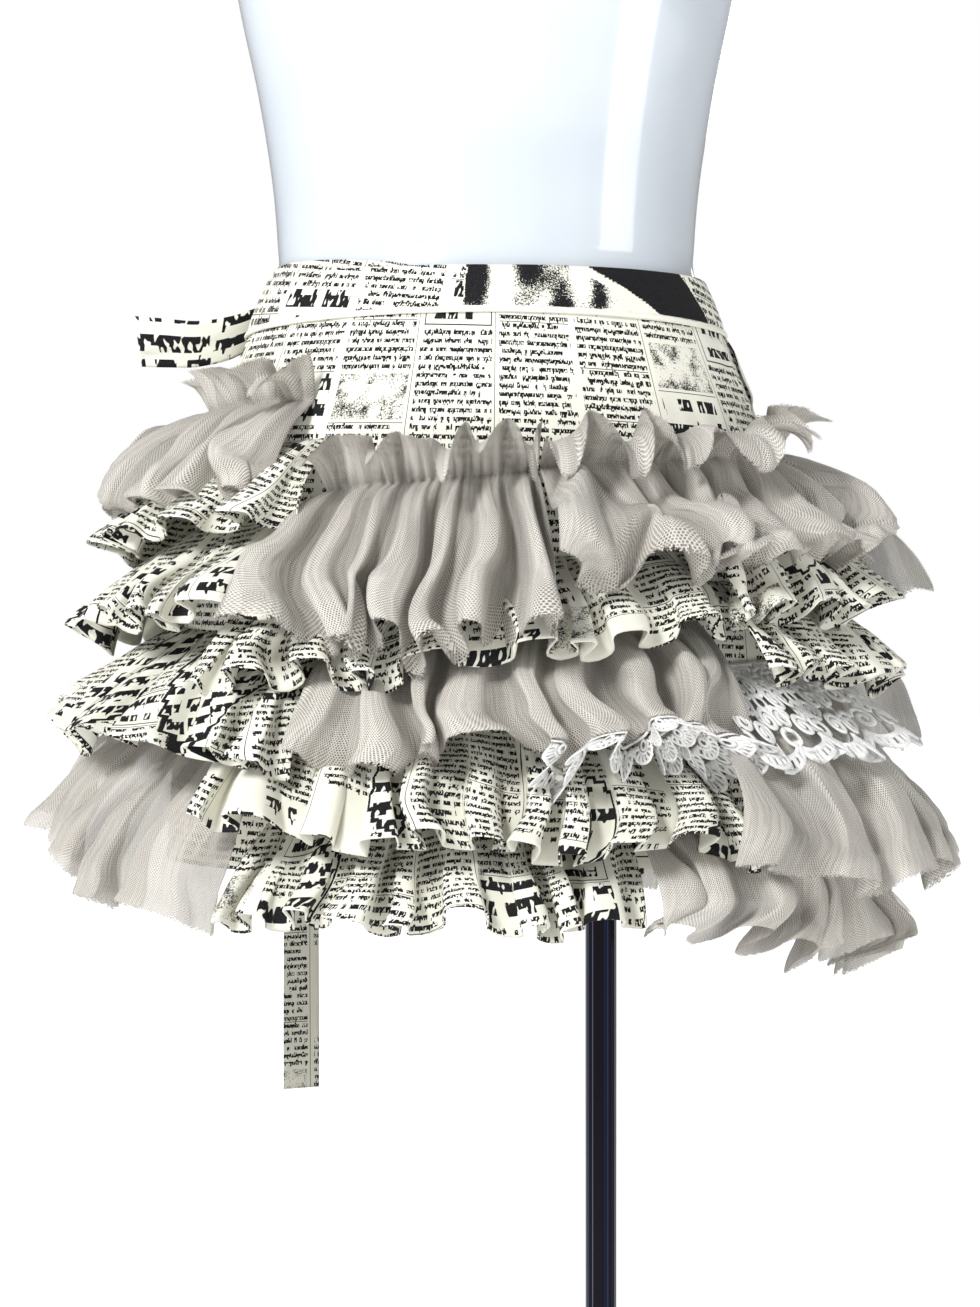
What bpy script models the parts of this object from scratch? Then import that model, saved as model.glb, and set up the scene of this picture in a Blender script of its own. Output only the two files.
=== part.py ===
"""A tiered wrap mini skirt of printed cotton, knitted mesh and lace, worn on a dress form.

Metres, +Z up. The origin is the centre of the base plate's underside, on the pole's axis.
The skirt's front faces -Y. Angles run round the form's own upright axis: 0 is the front,
90 is +X and 180 is the back. A drop is a distance below the top of the waistband.
Run it with: blender --background --python part.py
"""

import math
from collections import namedtuple

import bmesh
import bpy
from mathutils import Vector

# Driving sizes
WAIST_HEIGHT = 1.03
FORM_X = -0.069
CLOTH = 0.0012
SEAM_GAP = 0.00035
LAYER = CLOTH + SEAM_GAP
PANEL_STEP = 5.0

# Waistband
BAND_DIP = 0.006
BAND_BOTTOM = 0.0335
BAND_SIDE_DROP = 0.003
UNDER_BAND_RISE = 0.008
FRONT_START = -100.0
FRONT_END = 82.0
UNDER_END = -8.0
EDGE_GAP = 0.3
UNDER_TOP = 0.0365
PANEL_TOP = 0.012
BACK_YOKE_DROP = 0.08
YOKE_GAP = 0.00045
SKIRT_HEM = 0.345

# Gathers of the back yoke
YOKE_GATHERS = 8
YOKE_DEPTH = 0.0014

# Folds of the ruffles. The turns are how often a change of theirs repeats along a strip
HEADER_LEAN = 0.014
HEADER_DEPTH = 0.006
FOLD_CORNERS = 4
FOLD_SPREAD = 0.15
FOLD_WARP = 0.35
WARP_TURNS = 3.0
FOLD_LEAN = 0.3
LEAN_TURNS = 1.7
HEM_RISE = 0.05
HEM_TURNS = 2.6
CREST_DROP = 0.03
FOLD_SWING = 0.25
SWING_TURNS = 2.3
ENDS_HELD = 8.0
WARP_HELD = 4.0
LONG_RUFFLE = 0.075
DROOP = 1.2
FADE = 0.8
EDGING_FLARE = 0.6
PHASE_STEP = 0.61803

# Stand
POLE_RADIUS = 0.0095
BASE_RADIUS = 0.17
BASE_THICK = 0.010
BASE_LOWER_EDGE = 0.002
BASE_UPPER_EDGE = 0.003
BASE_COLUMNS = 40
POLE_COLUMNS = 20
COLLAR_RADIUS = 0.021
COLLAR_HEIGHT = 0.035
FLANGE_RADIUS = 0.030
FLANGE_HEIGHT = 0.016
FIT = 0.0004
FORM_BOTTOM = 0.302
FORM_COLUMNS = 32
NECK_TOP = 0.470

# Ties
TIE_CLOTH = 0.0015

SHARP_ANGLE = 50.0

Section = namedtuple("Section", "drop half_breadth half_depth")
FormSection = namedtuple("FormSection", "height half_breadth half_depth forward")
Ruffle = namedtuple(
    "Ruffle",
    "name cloth start end seam_start seam_end length_start length_end "
    "flare_start flare_end folds depth header",
)
TieSection = namedtuple("TieSection", "angle out drop half_width tilt")
Cloth = namedtuple("Cloth", "name colour roughness metallic")

PRINT = Cloth("printed_cotton", (0.86, 0.85, 0.77), 0.75, 0.0)
MESH = Cloth("knitted_mesh", (0.60, 0.56, 0.54), 0.80, 0.0)
LACE = Cloth("cotton_lace", (0.93, 0.93, 0.92), 0.80, 0.0)
SHELL = Cloth("form_shell", (0.90, 0.91, 0.93), 0.18, 0.0)
TUBE = Cloth("stand_tube", (0.03, 0.03, 0.05), 0.12, 1.0)
PLATE = Cloth("stand_plate", (0.05, 0.05, 0.06), 0.30, 0.8)

# The skirt shell, as ovals round the form's axis
SKIRT_SECTIONS = [
    Section(-0.020, 0.1280, 0.0950),
    Section(0.000, 0.1280, 0.0950),
    Section(0.036, 0.1420, 0.1060),
    Section(0.100, 0.1680, 0.1220),
    Section(0.250, 0.1840, 0.1380),
    Section(0.345, 0.1900, 0.1460),
]

# The dress form, as heights above the top of the waistband
FORM_SECTIONS = [
    FormSection(-0.302, 0.136, 0.092, 0.000),
    FormSection(-0.296, 0.150, 0.104, 0.000),
    FormSection(-0.270, 0.164, 0.116, 0.000),
    FormSection(-0.220, 0.172, 0.124, 0.000),
    FormSection(-0.160, 0.1715, 0.1235, 0.000),
    FormSection(-0.100, 0.1640, 0.1180, 0.000),
    FormSection(-0.036, 0.1393, 0.1033, 0.000),
    FormSection(0.000, 0.1253, 0.0923, 0.000),
    FormSection(0.020, 0.1247, 0.0922, 0.000),
    FormSection(0.060, 0.1283, 0.0945, 0.000),
    FormSection(0.108, 0.1360, 0.0990, 0.002),
    FormSection(0.150, 0.1450, 0.1040, 0.004),
    FormSection(0.190, 0.1530, 0.1070, 0.005),
    FormSection(0.235, 0.1640, 0.1060, 0.004),
    FormSection(0.285, 0.1720, 0.0990, 0.000),
    FormSection(0.325, 0.1620, 0.0880, -0.005),
    FormSection(0.358, 0.1270, 0.0770, -0.008),
    FormSection(0.386, 0.0790, 0.0640, -0.010),
    FormSection(0.408, 0.0580, 0.0560, -0.010),
    FormSection(0.440, 0.0520, 0.0520, -0.010),
    FormSection(0.470, 0.0510, 0.0510, -0.010),
]

# The cap on the form's neck, as radii and heights above the neck
NECK_CAP = [
    # radius, height
    (0.0515, 0.0003),
    (0.0515, 0.0050),
    (0.0490, 0.0080),
]

# Rows of points down the panels, and the rows and fold depths of the yoke
HIP_DROPS = [0.250, 0.100]
UNDER_PANEL_RISE = 0.006
YOKE_ROWS = [
    # drop, depth of its gathers
    (BACK_YOKE_DROP, 0.0),
    (0.060, YOKE_DEPTH),
    (0.036, 0.0),
    (0.016, 0.0),
]

# The gathered strips from the waist down, each from its start angle to its end angle
RUFFLES = [
    # name, cloth, start, end, seam drop x2, length x2, flare x2, folds, depth, header
    Ruffle("mesh_1_left", MESH, -150, -45.5, 0.080, 0.077, 0.075, 0.047, 0.056, 0.036, 10, 0.008, 0.025),
    Ruffle("mesh_1_front", MESH, -30.4, 9.5, 0.134, 0.124, 0.087, 0.092, 0.060, 0.062, 7, 0.011, 0.028),
    Ruffle("mesh_1_right", MESH, 9.9, 100, 0.122, 0.102, 0.050, 0.055, 0.054, 0.048, 10, 0.010, 0.026),
    Ruffle("mesh_1_back", MESH, 101, 209, 0.100, 0.086, 0.100, 0.075, 0.086, 0.058, 9, 0.011, 0.025),
    Ruffle("print_2_left", PRINT, -145, -31, 0.122, 0.104, 0.058, 0.045, 0.052, 0.042, 10, 0.009, 0),
    Ruffle("print_2_front", PRINT, -44, 38, 0.183, 0.166, 0.062, 0.045, 0.053, 0.046, 9, 0.010, 0),
    Ruffle("print_2_right", PRINT, 38.8, 120, 0.143, 0.140, 0.062, 0.050, 0.050, 0.052, 10, 0.010, 0),
    Ruffle("print_2_back", PRINT, 121, 214, 0.145, 0.130, 0.060, 0.060, 0.050, 0.050, 9, 0.010, 0),
    Ruffle("print_3_left", PRINT, -140, -31.4, 0.163, 0.144, 0.058, 0.056, 0.062, 0.052, 11, 0.010, 0),
    Ruffle("mesh_3_front", MESH, -27, 40.5, 0.218, 0.205, 0.066, 0.062, 0.050, 0.048, 9, 0.010, 0),
    Ruffle("print_3_right", PRINT, 41.5, 104, 0.184, 0.178, 0.050, 0.066, 0.052, 0.058, 8, 0.010, 0),
    Ruffle("mesh_3_back", MESH, 105, 219, 0.182, 0.165, 0.100, 0.072, 0.090, 0.058, 9, 0.011, 0),
    Ruffle("print_4_left", PRINT, -135, -28, 0.196, 0.219, 0.055, 0.064, 0.076, 0.055, 11, 0.010, 0),
    Ruffle("print_4_front", PRINT, -41, 40.5, 0.252, 0.272, 0.062, 0.062, 0.054, 0.052, 11, 0.010, 0),
    Ruffle("mesh_4_right", MESH, 41.5, 118, 0.246, 0.240, 0.095, 0.122, 0.068, 0.084, 7, 0.014, 0),
    Ruffle("print_4_back", PRINT, 119, 224, 0.245, 0.205, 0.070, 0.062, 0.062, 0.064, 10, 0.010, 0),
    Ruffle("mesh_5_left", MESH, -130, -39.2, 0.226, 0.284, 0.062, 0.096, 0.092, 0.060, 8, 0.013, 0),
    Ruffle("print_5_front", PRINT, -38.5, 23, 0.316, 0.314, 0.053, 0.054, 0.042, 0.043, 9, 0.010, 0),
    Ruffle("mesh_5_right", MESH, 24, 103, 0.312, 0.324, 0.066, 0.090, 0.038, 0.040, 9, 0.010, 0),
    Ruffle("mesh_5_back", MESH, 104, 229, 0.312, 0.262, 0.080, 0.088, 0.076, 0.070, 9, 0.012, 0),
]

# The lace frill over the right-hand flounce, and how its net is cut
LACE_FRILL = Ruffle(
    "lace_right", LACE, 42, 88, 0.229, 0.223, 0.052, 0.052, 0.058, 0.058, 5, 0.006, 0
)
LACE_ROWS = 6
LACE_COLUMNS_PER_CORNER = 2
EDGING_CARRIER = "mesh_3_front"
EDGING_COLUMNS_PER_CORNER = 2
EDGING_START = 0.46
EDGING_TOP = 1.03
EDGING_BOTTOM = 1.22
EDGING_ROWS = 2

# Ties: the one sewn in at the left side, and the long one that hangs at the back
SIDE_TIE = [
    # angle, out from the skirt shell, drop, half width, tilt of its upper edge outward
    TieSection(-117, 0.0042, 0.0225, 0.0140, -0.37),
    TieSection(-110, 0.0042, 0.0225, 0.0140, -0.37),
    TieSection(-103, 0.0070, 0.0228, 0.0142, -0.33),
    TieSection(-97, 0.0160, 0.0250, 0.0145, -0.20),
    TieSection(-93, 0.0320, 0.0285, 0.0148, -0.05),
    TieSection(-91, 0.0520, 0.0325, 0.0150, 0.08),
    TieSection(-90, 0.0700, 0.0360, 0.0150, 0.14),
]
BACK_TIE_ANGLE = -151.5
BACK_TIE_HALF_WIDTH = 0.0125
BACK_TIE = [
    # out from the skirt shell, and drop
    (0.0035, 0.010),
    (0.0090, 0.028),
    (0.0290, 0.050),
    (0.0400, 0.085),
    (0.0580, 0.120),
    (0.0780, 0.160),
    (0.0880, 0.200),
    (0.0925, 0.250),
    (0.0955, 0.310),
    (0.0950, 0.345),
]
BACK_TIE_END = 0.522
BACK_TIE_TAIL_STEPS = 3


def clear_scene():
    for obj in list(bpy.data.objects):
        bpy.data.objects.remove(obj, do_unlink=True)


def material(cloth):
    """The named Principled material, made once."""
    found = bpy.data.materials.get(cloth.name)
    if found:
        return found
    made = bpy.data.materials.new(cloth.name)
    made.use_nodes = True
    shader = made.node_tree.nodes["Principled BSDF"]
    shader.inputs["Base Color"].default_value = (*cloth.colour, 1.0)
    shader.inputs["Roughness"].default_value = cloth.roughness
    shader.inputs["Metallic"].default_value = cloth.metallic
    return made


def add_object(name, bm, cloth):
    """Turns a bmesh into a smooth shaded object of that material."""
    mesh = bpy.data.meshes.new(name)
    bm.to_mesh(mesh)
    bm.free()
    mesh.materials.append(material(cloth))
    mesh.shade_smooth()
    mesh.set_sharp_from_angle(angle=math.radians(SHARP_ANGLE))
    obj = bpy.data.objects.new(name, mesh)
    bpy.context.scene.collection.objects.link(obj)
    return obj


def lerp(a, b, share):
    return a + (b - a) * share


def skirt_oval(drop):
    """Half breadth and half depth of the skirt shell at a drop, straight between its sections."""
    rows = SKIRT_SECTIONS
    if drop >= rows[-1].drop:
        return rows[-1].half_breadth, rows[-1].half_depth
    for upper, lower in zip(rows, rows[1:]):
        if drop <= lower.drop:
            share = max(0.0, (drop - upper.drop) / (lower.drop - upper.drop))
            return (
                lerp(upper.half_breadth, lower.half_breadth, share),
                lerp(upper.half_depth, lower.half_depth, share),
            )
    return rows[-1].half_breadth, rows[-1].half_depth


def outward(angle, drop):
    """The level direction that points away from the skirt shell there."""
    half_breadth, half_depth = skirt_oval(drop)
    turn = math.radians(angle)
    return Vector((math.sin(turn) / half_breadth, -math.cos(turn) / half_depth, 0.0)).normalized()


def on_skirt(angle, drop, out=0.0):
    """The point of the skirt shell at an angle and a drop, moved out by a distance."""
    half_breadth, half_depth = skirt_oval(drop)
    turn = math.radians(angle)
    x = FORM_X + half_breadth * math.sin(turn)
    y = -half_depth * math.cos(turn)
    return Vector((x, y, WAIST_HEIGHT - drop)) + outward(angle, drop) * out


def stations(start, end, step=PANEL_STEP):
    """Angles at whole steps between two ends, and the ends themselves."""
    inner = []
    angle = math.ceil((start + step / 4) / step) * step
    while angle < end - step / 4:
        inner.append(angle)
        angle += step
    return [start, *inner, end]


def sheet(name, cloth, columns, rows, place, thickness=CLOTH, holes=None):
    """A wall of cloth: a grid whose points go where place(column, row) says, with its thickness.

    Row 0 is the bottom edge. holes(column, row) says which cells are cut through.
    """
    bm = bmesh.new()
    bmesh.ops.create_grid(bm, x_segments=columns, y_segments=rows, size=1.0)
    if holes:
        cut = []
        for face in bm.faces:
            middle = face.calc_center_median()
            column = int((middle.x + 1.0) / 2.0 * columns)
            row = int((middle.y + 1.0) / 2.0 * rows)
            if holes(column, row):
                cut.append(face)
        bmesh.ops.delete(bm, geom=cut, context="FACES_ONLY")
    for vert in bm.verts:
        column = round((vert.co.x + 1.0) / 2.0 * columns)
        row = round((vert.co.y + 1.0) / 2.0 * rows)
        vert.co = place(column, row)
    obj = add_object(name, bm, cloth)
    wall = obj.modifiers.new("wall", "SOLIDIFY")
    wall.thickness = thickness
    wall.offset = 0.0
    return obj


def band_top(angle):
    return BAND_DIP * (1.0 + math.cos(math.radians(angle))) / 2.0


def band_bottom(angle):
    return BAND_BOTTOM + BAND_SIDE_DROP * (1.0 - math.cos(math.radians(2.0 * angle))) / 2.0


def make_bands():
    """The outer band in front, the band of the underlap inside it, and the band of the gathered back."""
    front = stations(FRONT_START, FRONT_END)

    def on_front(column, row):
        angle = front[column]
        return on_skirt(angle, (band_bottom(angle), band_top(angle))[row], LAYER)

    sheet("band_front", PRINT, len(front) - 1, 1, on_front)

    under = stations(FRONT_START + 1.0, UNDER_END)

    def on_under(column, row):
        angle = under[column]
        share = column / (len(under) - 1)
        rise = UNDER_BAND_RISE * max(0.0, math.sin(math.pi * min(1.0, 0.12 + share))) ** 0.6
        top = band_top(angle) - rise
        return on_skirt(angle, (UNDER_TOP - SEAM_GAP, PANEL_TOP, top)[row], -LAYER)

    sheet("band_under", PRINT, len(under) - 1, 2, on_under)

    back = stations(FRONT_END + EDGE_GAP, 360.0 + FRONT_START - EDGE_GAP)

    def on_back(column, row):
        angle = back[column]
        return on_skirt(angle, (band_bottom(angle), band_top(angle))[row], LAYER)

    sheet("band_back", PRINT, len(back) - 1, 1, on_back)


def make_panels():
    """The panels that carry the ruffles: front, underlap, and a back with a gathered yoke."""
    front = stations(FRONT_START, FRONT_END)
    front_rows = [SKIRT_HEM, *HIP_DROPS, SKIRT_SECTIONS[2].drop, PANEL_TOP]
    sheet(
        "front_panel", PRINT, len(front) - 1, len(front_rows) - 1,
        lambda column, row: on_skirt(front[column], front_rows[row]),
    )

    under = stations(FRONT_START + 1.0, UNDER_END)
    under_rows = [SKIRT_HEM - UNDER_PANEL_RISE, *HIP_DROPS, UNDER_TOP]
    sheet(
        "under_panel", PRINT, len(under) - 1, len(under_rows) - 1,
        lambda column, row: on_skirt(under[column], under_rows[row], -LAYER),
    )

    back_start = FRONT_END + EDGE_GAP
    back_end = 360.0 + FRONT_START - EDGE_GAP
    back = stations(back_start, back_end)
    back_rows = [SKIRT_HEM, *HIP_DROPS, BACK_YOKE_DROP + YOKE_GAP]
    sheet(
        "back_panel", PRINT, len(back) - 1, len(back_rows) - 1,
        lambda column, row: on_skirt(back[column], back_rows[row]),
    )

    yoke_columns = YOKE_GATHERS * FOLD_CORNERS

    def on_yoke(column, row):
        angle = lerp(back_start, back_end, column / yoke_columns)
        side = 1.0 if column % FOLD_CORNERS < FOLD_CORNERS / 2 else -1.0
        drop, depth = YOKE_ROWS[row]
        return on_skirt(angle, drop, depth * (1.0 + side))

    sheet("back_yoke", PRINT, yoke_columns, len(YOKE_ROWS) - 1, on_yoke)


def ruffle_phase(ruffle):
    """A number from 0 to 1 that sets where a strip's uneven folds fall."""
    return math.fmod(sum(map(ord, ruffle.name)) * PHASE_STEP, 1.0)


def ruffle_point(ruffle, along, down, side, spread, out=0.0):
    """A point of a gathered strip.

    along runs from 0 to 1 between its ends, and down from 0 at the seam to 1 at the hem,
    or to -1 at the top of its header. side is 1 on a fold's crest and -1 in its trough,
    and spread moves a fold's corners apart, as a gathered fold swells towards its hem.
    """
    phase = ruffle_phase(ruffle)
    full_turn = 2.0 * math.pi
    warp_depth = FOLD_WARP / (full_turn * WARP_TURNS)
    warp = warp_depth * math.sin(full_turn * (WARP_TURNS * along + phase))
    warp -= warp_depth * math.sin(full_turn * phase)
    inner = 4.0 * along * (1.0 - along)
    lean = FOLD_LEAN * math.sin(full_turn * (LEAN_TURNS * along + phase)) * inner
    opening = max(down, 0.0)
    shift = (spread * FOLD_SPREAD * min(1.0, inner * ENDS_HELD) + lean) * opening / ruffle.folds
    at = min(1.0, max(0.0, along + warp * min(1.0, inner * WARP_HELD) + shift))
    angle = lerp(ruffle.start, ruffle.end, at)
    seam = lerp(ruffle.seam_start, ruffle.seam_end, at)
    if down < 0.0:
        rise = -down
        drop = seam - ruffle.header * rise
        return on_skirt(angle, drop, LAYER + rise * (HEADER_LEAN + side * HEADER_DEPTH) + out)
    uneven = 1.0 + HEM_RISE * math.sin(full_turn * (HEM_TURNS * along + phase)) + CREST_DROP * side
    drop = seam + lerp(ruffle.length_start, ruffle.length_end, at) * down * uneven
    flare = lerp(ruffle.flare_start, ruffle.flare_end, at)
    mean = flare * (1.0 - (1.0 - min(down, 1.0)) ** DROOP)
    mean += flare * EDGING_FLARE * max(0.0, down - 1.0)
    swing = 1.0 - FOLD_SWING + FOLD_SWING * math.sin(full_turn * (SWING_TURNS * along + 2.0 * phase))
    wave = side * ruffle.depth * swing * down**FADE
    return on_skirt(angle, drop, LAYER + mean + wave + out)


def corner(column):
    """Side and spread of a fold's corner: two on its crest, then two in its trough."""
    return ((1.0, -1.0), (1.0, 1.0), (-1.0, -1.0), (-1.0, 1.0))[column % FOLD_CORNERS]


def make_ruffle(ruffle):
    columns = ruffle.folds * FOLD_CORNERS - 1
    rows = [1.0, 0.6, 0.25, 0.0] if ruffle.length_end >= LONG_RUFFLE else [1.0, 0.45, 0.0]
    if ruffle.header:
        rows.append(-1.0)

    def place(column, row):
        side, spread = corner(column)
        return ruffle_point(ruffle, column / columns, rows[row], side, spread)

    sheet(ruffle.name, ruffle.cloth, columns, len(rows) - 1, place)


def make_lace():
    """The lace frill over the flounce, and the lace edging along the hem of the middle mesh strip."""
    corners = LACE_FRILL.folds * FOLD_CORNERS - 1
    columns = corners * LACE_COLUMNS_PER_CORNER

    def blend(column, per_corner):
        first, share = divmod(column, per_corner)
        share /= per_corner
        here, there = corner(first), corner(first + 1)
        return lerp(here[0], there[0], share), lerp(here[1], there[1], share)

    def on_frill(column, row):
        side, spread = blend(column, LACE_COLUMNS_PER_CORNER)
        return ruffle_point(LACE_FRILL, column / columns, 1.0 - row / LACE_ROWS, side, spread)

    def frill_hole(column, row):
        inside = 0 < row < LACE_ROWS - 1 and column < columns - 1
        return inside and row % 2 == 1 and (column + row // 2) % 2 == 1

    sheet(LACE_FRILL.name, LACE, columns, LACE_ROWS, on_frill, holes=frill_hole)

    carrier = next(ruffle for ruffle in RUFFLES if ruffle.name == EDGING_CARRIER)
    carrier_columns = carrier.folds * FOLD_CORNERS - 1
    first = round(EDGING_START * carrier_columns)
    per_corner = EDGING_COLUMNS_PER_CORNER
    edging_columns = (carrier_columns - 1 - first) * per_corner

    def on_edging(column, row):
        side, spread = blend(column + first * per_corner, per_corner)
        down = lerp(EDGING_BOTTOM, EDGING_TOP, row / EDGING_ROWS)
        along = (first + column / per_corner) / carrier_columns
        return ruffle_point(carrier, along, down, side, spread)

    def edging_hole(column, row):
        return row == 0 and column % 4 == 2

    sheet("lace_edging", LACE, edging_columns, EDGING_ROWS, on_edging, holes=edging_hole)


def ribbon(name, points, across, half_widths):
    """A flat tie whose middle runs through points, with its width along the across directions."""
    last = len(points) - 1

    def place(column, row):
        side = (-1.0, 1.0)[row]
        return points[column] + across[column] * half_widths[column] * side

    sheet(name, PRINT, last, 1, place, thickness=TIE_CLOTH)


def make_ties():
    points, across, halves = [], [], []
    for section in SIDE_TIE:
        points.append(on_skirt(section.angle, section.drop, section.out))
        lean = outward(section.angle, section.drop) * math.sin(section.tilt)
        across.append((Vector((0.0, 0.0, math.cos(section.tilt))) + lean).normalized())
        halves.append(section.half_width)
    ribbon("side_tie", points, across, halves)

    points = [on_skirt(BACK_TIE_ANGLE, drop, out) for out, drop in BACK_TIE]
    tail_out, tail_start = BACK_TIE[-1]
    for step in range(1, BACK_TIE_TAIL_STEPS + 1):
        share = step / BACK_TIE_TAIL_STEPS
        point = on_skirt(BACK_TIE_ANGLE, SKIRT_HEM, tail_out)
        point.z = WAIST_HEIGHT - lerp(tail_start, BACK_TIE_END, share)
        points.append(point)
    turn = outward(BACK_TIE_ANGLE, SKIRT_HEM)
    tangent = Vector((-turn.y, turn.x, 0.0))
    ribbon("back_tie", points, [tangent] * len(points), [BACK_TIE_HALF_WIDTH] * len(points))


def ring(bm, half_breadth, half_depth, centre, columns):
    """The edges of a level oval."""
    made = bmesh.ops.create_circle(bm, cap_ends=False, radius=1.0, segments=columns)
    for vert in made["verts"]:
        vert.co = Vector((vert.co.x * half_breadth, vert.co.y * half_depth, 0.0)) + centre
    return list({edge for vert in made["verts"] for edge in vert.link_edges})


def loft(name, cloth, rings, columns):
    """A closed solid through level ovals, each a half breadth, a half depth and a centre, bottom first."""
    bm = bmesh.new()
    loops = [ring(bm, *section, columns) for section in rings]
    for lower, upper in zip(loops, loops[1:]):
        bmesh.ops.bridge_loops(bm, edges=lower + upper)
    bmesh.ops.contextual_create(bm, geom=loops[0])
    bmesh.ops.contextual_create(bm, geom=loops[-1])
    bmesh.ops.recalc_face_normals(bm, faces=bm.faces)
    return add_object(name, bm, cloth)


def sleeve(name, cloth, inner, outer, bottom, top, columns):
    """A round ring with a bore on the pole's axis: a square profile spun round it."""
    bm = bmesh.new()
    corners = [(inner, bottom), (outer, bottom), (outer, top), (inner, top)]
    profile = [bm.verts.new((radius, 0.0, z)) for radius, z in corners]
    edges = [bm.edges.new((here, there)) for here, there in zip(profile, profile[1:] + profile[:1])]
    bmesh.ops.spin(
        bm, geom=profile + edges, cent=(0, 0, 0), axis=(0, 0, 1),
        angle=2.0 * math.pi, steps=columns, use_merge=True,
    )
    bmesh.ops.remove_doubles(bm, verts=bm.verts, dist=1e-6)
    bmesh.ops.recalc_face_normals(bm, faces=bm.faces)
    return add_object(name, bm, cloth)


def make_form():
    rings = [
        (row.half_breadth, row.half_depth, Vector((FORM_X, -row.forward, WAIST_HEIGHT + row.height)))
        for row in FORM_SECTIONS
    ]
    loft("form_torso", SHELL, rings, FORM_COLUMNS)
    neck = FORM_SECTIONS[-1]
    top = WAIST_HEIGHT + NECK_TOP
    rings = [(radius, radius, Vector((FORM_X, -neck.forward, top + up))) for radius, up in NECK_CAP]
    loft("neck_cap", TUBE, rings, FORM_COLUMNS)


def rod(name, cloth, profile, columns):
    """A closed round solid on the pole's axis, from radii and heights, bottom first."""
    loft(name, cloth, [(radius, radius, Vector((0.0, 0.0, z))) for radius, z in profile], columns)


def make_stand():
    under_form = WAIST_HEIGHT - FORM_BOTTOM - FIT
    base = [
        (BASE_RADIUS - BASE_LOWER_EDGE, 0.0),
        (BASE_RADIUS, BASE_LOWER_EDGE),
        (BASE_RADIUS, BASE_THICK - BASE_UPPER_EDGE),
        (BASE_RADIUS - BASE_UPPER_EDGE, BASE_THICK),
    ]
    rod("base_plate", PLATE, base, BASE_COLUMNS)
    foot = BASE_THICK + FIT
    rod("pole", TUBE, [(POLE_RADIUS, foot), (POLE_RADIUS, under_form)], POLE_COLUMNS)
    bore = POLE_RADIUS + FIT
    sleeve("base_collar", TUBE, bore, COLLAR_RADIUS, foot, foot + COLLAR_HEIGHT, POLE_COLUMNS)
    sleeve("form_flange", TUBE, bore, FLANGE_RADIUS, under_form - FLANGE_HEIGHT, under_form, POLE_COLUMNS)


def main():
    clear_scene()
    make_stand()
    make_form()
    make_bands()
    make_panels()
    for ruffle in RUFFLES:
        make_ruffle(ruffle)
    make_lace()
    make_ties()


main()
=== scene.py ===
"""Looks of a tiered wrap mini skirt on a dress form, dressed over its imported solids.

Metres, +Z up, the skirt's front faces -Y. Angles run round the form's upright axis: 0 is the
front, 90 is +X and 180 is the back. A drop is a distance below the top of the waistband.
The file is laid out as an add-on: each operator makes one group of pieces.
"""

import math
from collections import namedtuple

import bmesh
import bpy
from bpy.props import FloatProperty, FloatVectorProperty, IntProperty, PointerProperty
from bpy.types import Operator, Panel, PropertyGroup
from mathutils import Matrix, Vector, noise


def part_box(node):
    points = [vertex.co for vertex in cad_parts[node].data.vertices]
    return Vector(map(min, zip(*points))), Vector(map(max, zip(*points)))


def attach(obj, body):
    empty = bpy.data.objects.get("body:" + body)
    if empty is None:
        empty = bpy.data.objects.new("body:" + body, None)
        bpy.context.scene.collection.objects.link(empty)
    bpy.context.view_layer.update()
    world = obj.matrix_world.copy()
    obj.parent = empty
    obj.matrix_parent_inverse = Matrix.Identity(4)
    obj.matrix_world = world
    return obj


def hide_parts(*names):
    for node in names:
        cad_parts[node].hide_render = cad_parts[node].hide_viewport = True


bl_info = {
    "name": "Tiered Wrap Skirt",
    "version": (1, 0, 0),
    "blender": (4, 5, 0),
    "location": "View3D > Sidebar > Skirt",
    "description": "Makes a tiered wrap skirt of printed cotton, knitted mesh and lace on a dress form",
    "category": "Object",
}

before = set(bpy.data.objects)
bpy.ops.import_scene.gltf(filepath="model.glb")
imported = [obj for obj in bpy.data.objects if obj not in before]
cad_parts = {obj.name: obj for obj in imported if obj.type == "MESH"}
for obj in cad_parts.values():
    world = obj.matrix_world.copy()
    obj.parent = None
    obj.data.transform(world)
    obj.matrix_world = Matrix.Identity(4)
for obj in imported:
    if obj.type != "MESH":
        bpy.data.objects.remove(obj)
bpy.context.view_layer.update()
BODY = "root"
FINISH = "_finish"
CLOTH_NAME = "_cloth"
FULL_TURN = 2.0 * math.pi

# Places taken from the frame and the sizes that the solids were made to
FORM_X = (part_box("form_torso")[0].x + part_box("form_torso")[1].x) / 2.0
WAIST_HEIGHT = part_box("form_torso")[0].z + 0.302
CLOTH = 0.0012
SEAM_GAP = 0.00035
LAYER = CLOTH + SEAM_GAP

BAND_DIP = 0.006
BAND_BOTTOM = 0.0335
BAND_SIDE_DROP = 0.003
UNDER_BAND_RISE = 0.008
PIPING = 0.13
PIPING_RISE = 0.0009
PIPING_GROOVE = 0.0006
BAND_CROWN = 0.0006
BAND_RIPPLE = 0.0007
BAND_GRID = (420, 23)
UNDER_TOP = 0.0365
PANEL_TOP = 0.012
FRONT_START = -100.0
FRONT_END = 82.0
UNDER_END = -8.0
EDGE_GAP = 0.3
BACK_START = FRONT_END + EDGE_GAP
BACK_END = 360.0 + FRONT_START - EDGE_GAP
BACK_YOKE_DROP = 0.08
SKIRT_HEM = 0.345
YOKE_GATHERS = 8
YOKE_DEPTH = 0.0014
YOKE_TOP = 0.016
YOKE_FINE_GATHERS = 7
# Gathers across the right side seam, and the ridge along it
SHIRRING_PITCH = 0.0105
SHIRRING_DEPTH = 0.0011
SHIRRING_SPREAD = 7.0
SEAM_RIDGE = 0.0012
SEAM_RIDGE_SPREAD = 0.9

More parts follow.
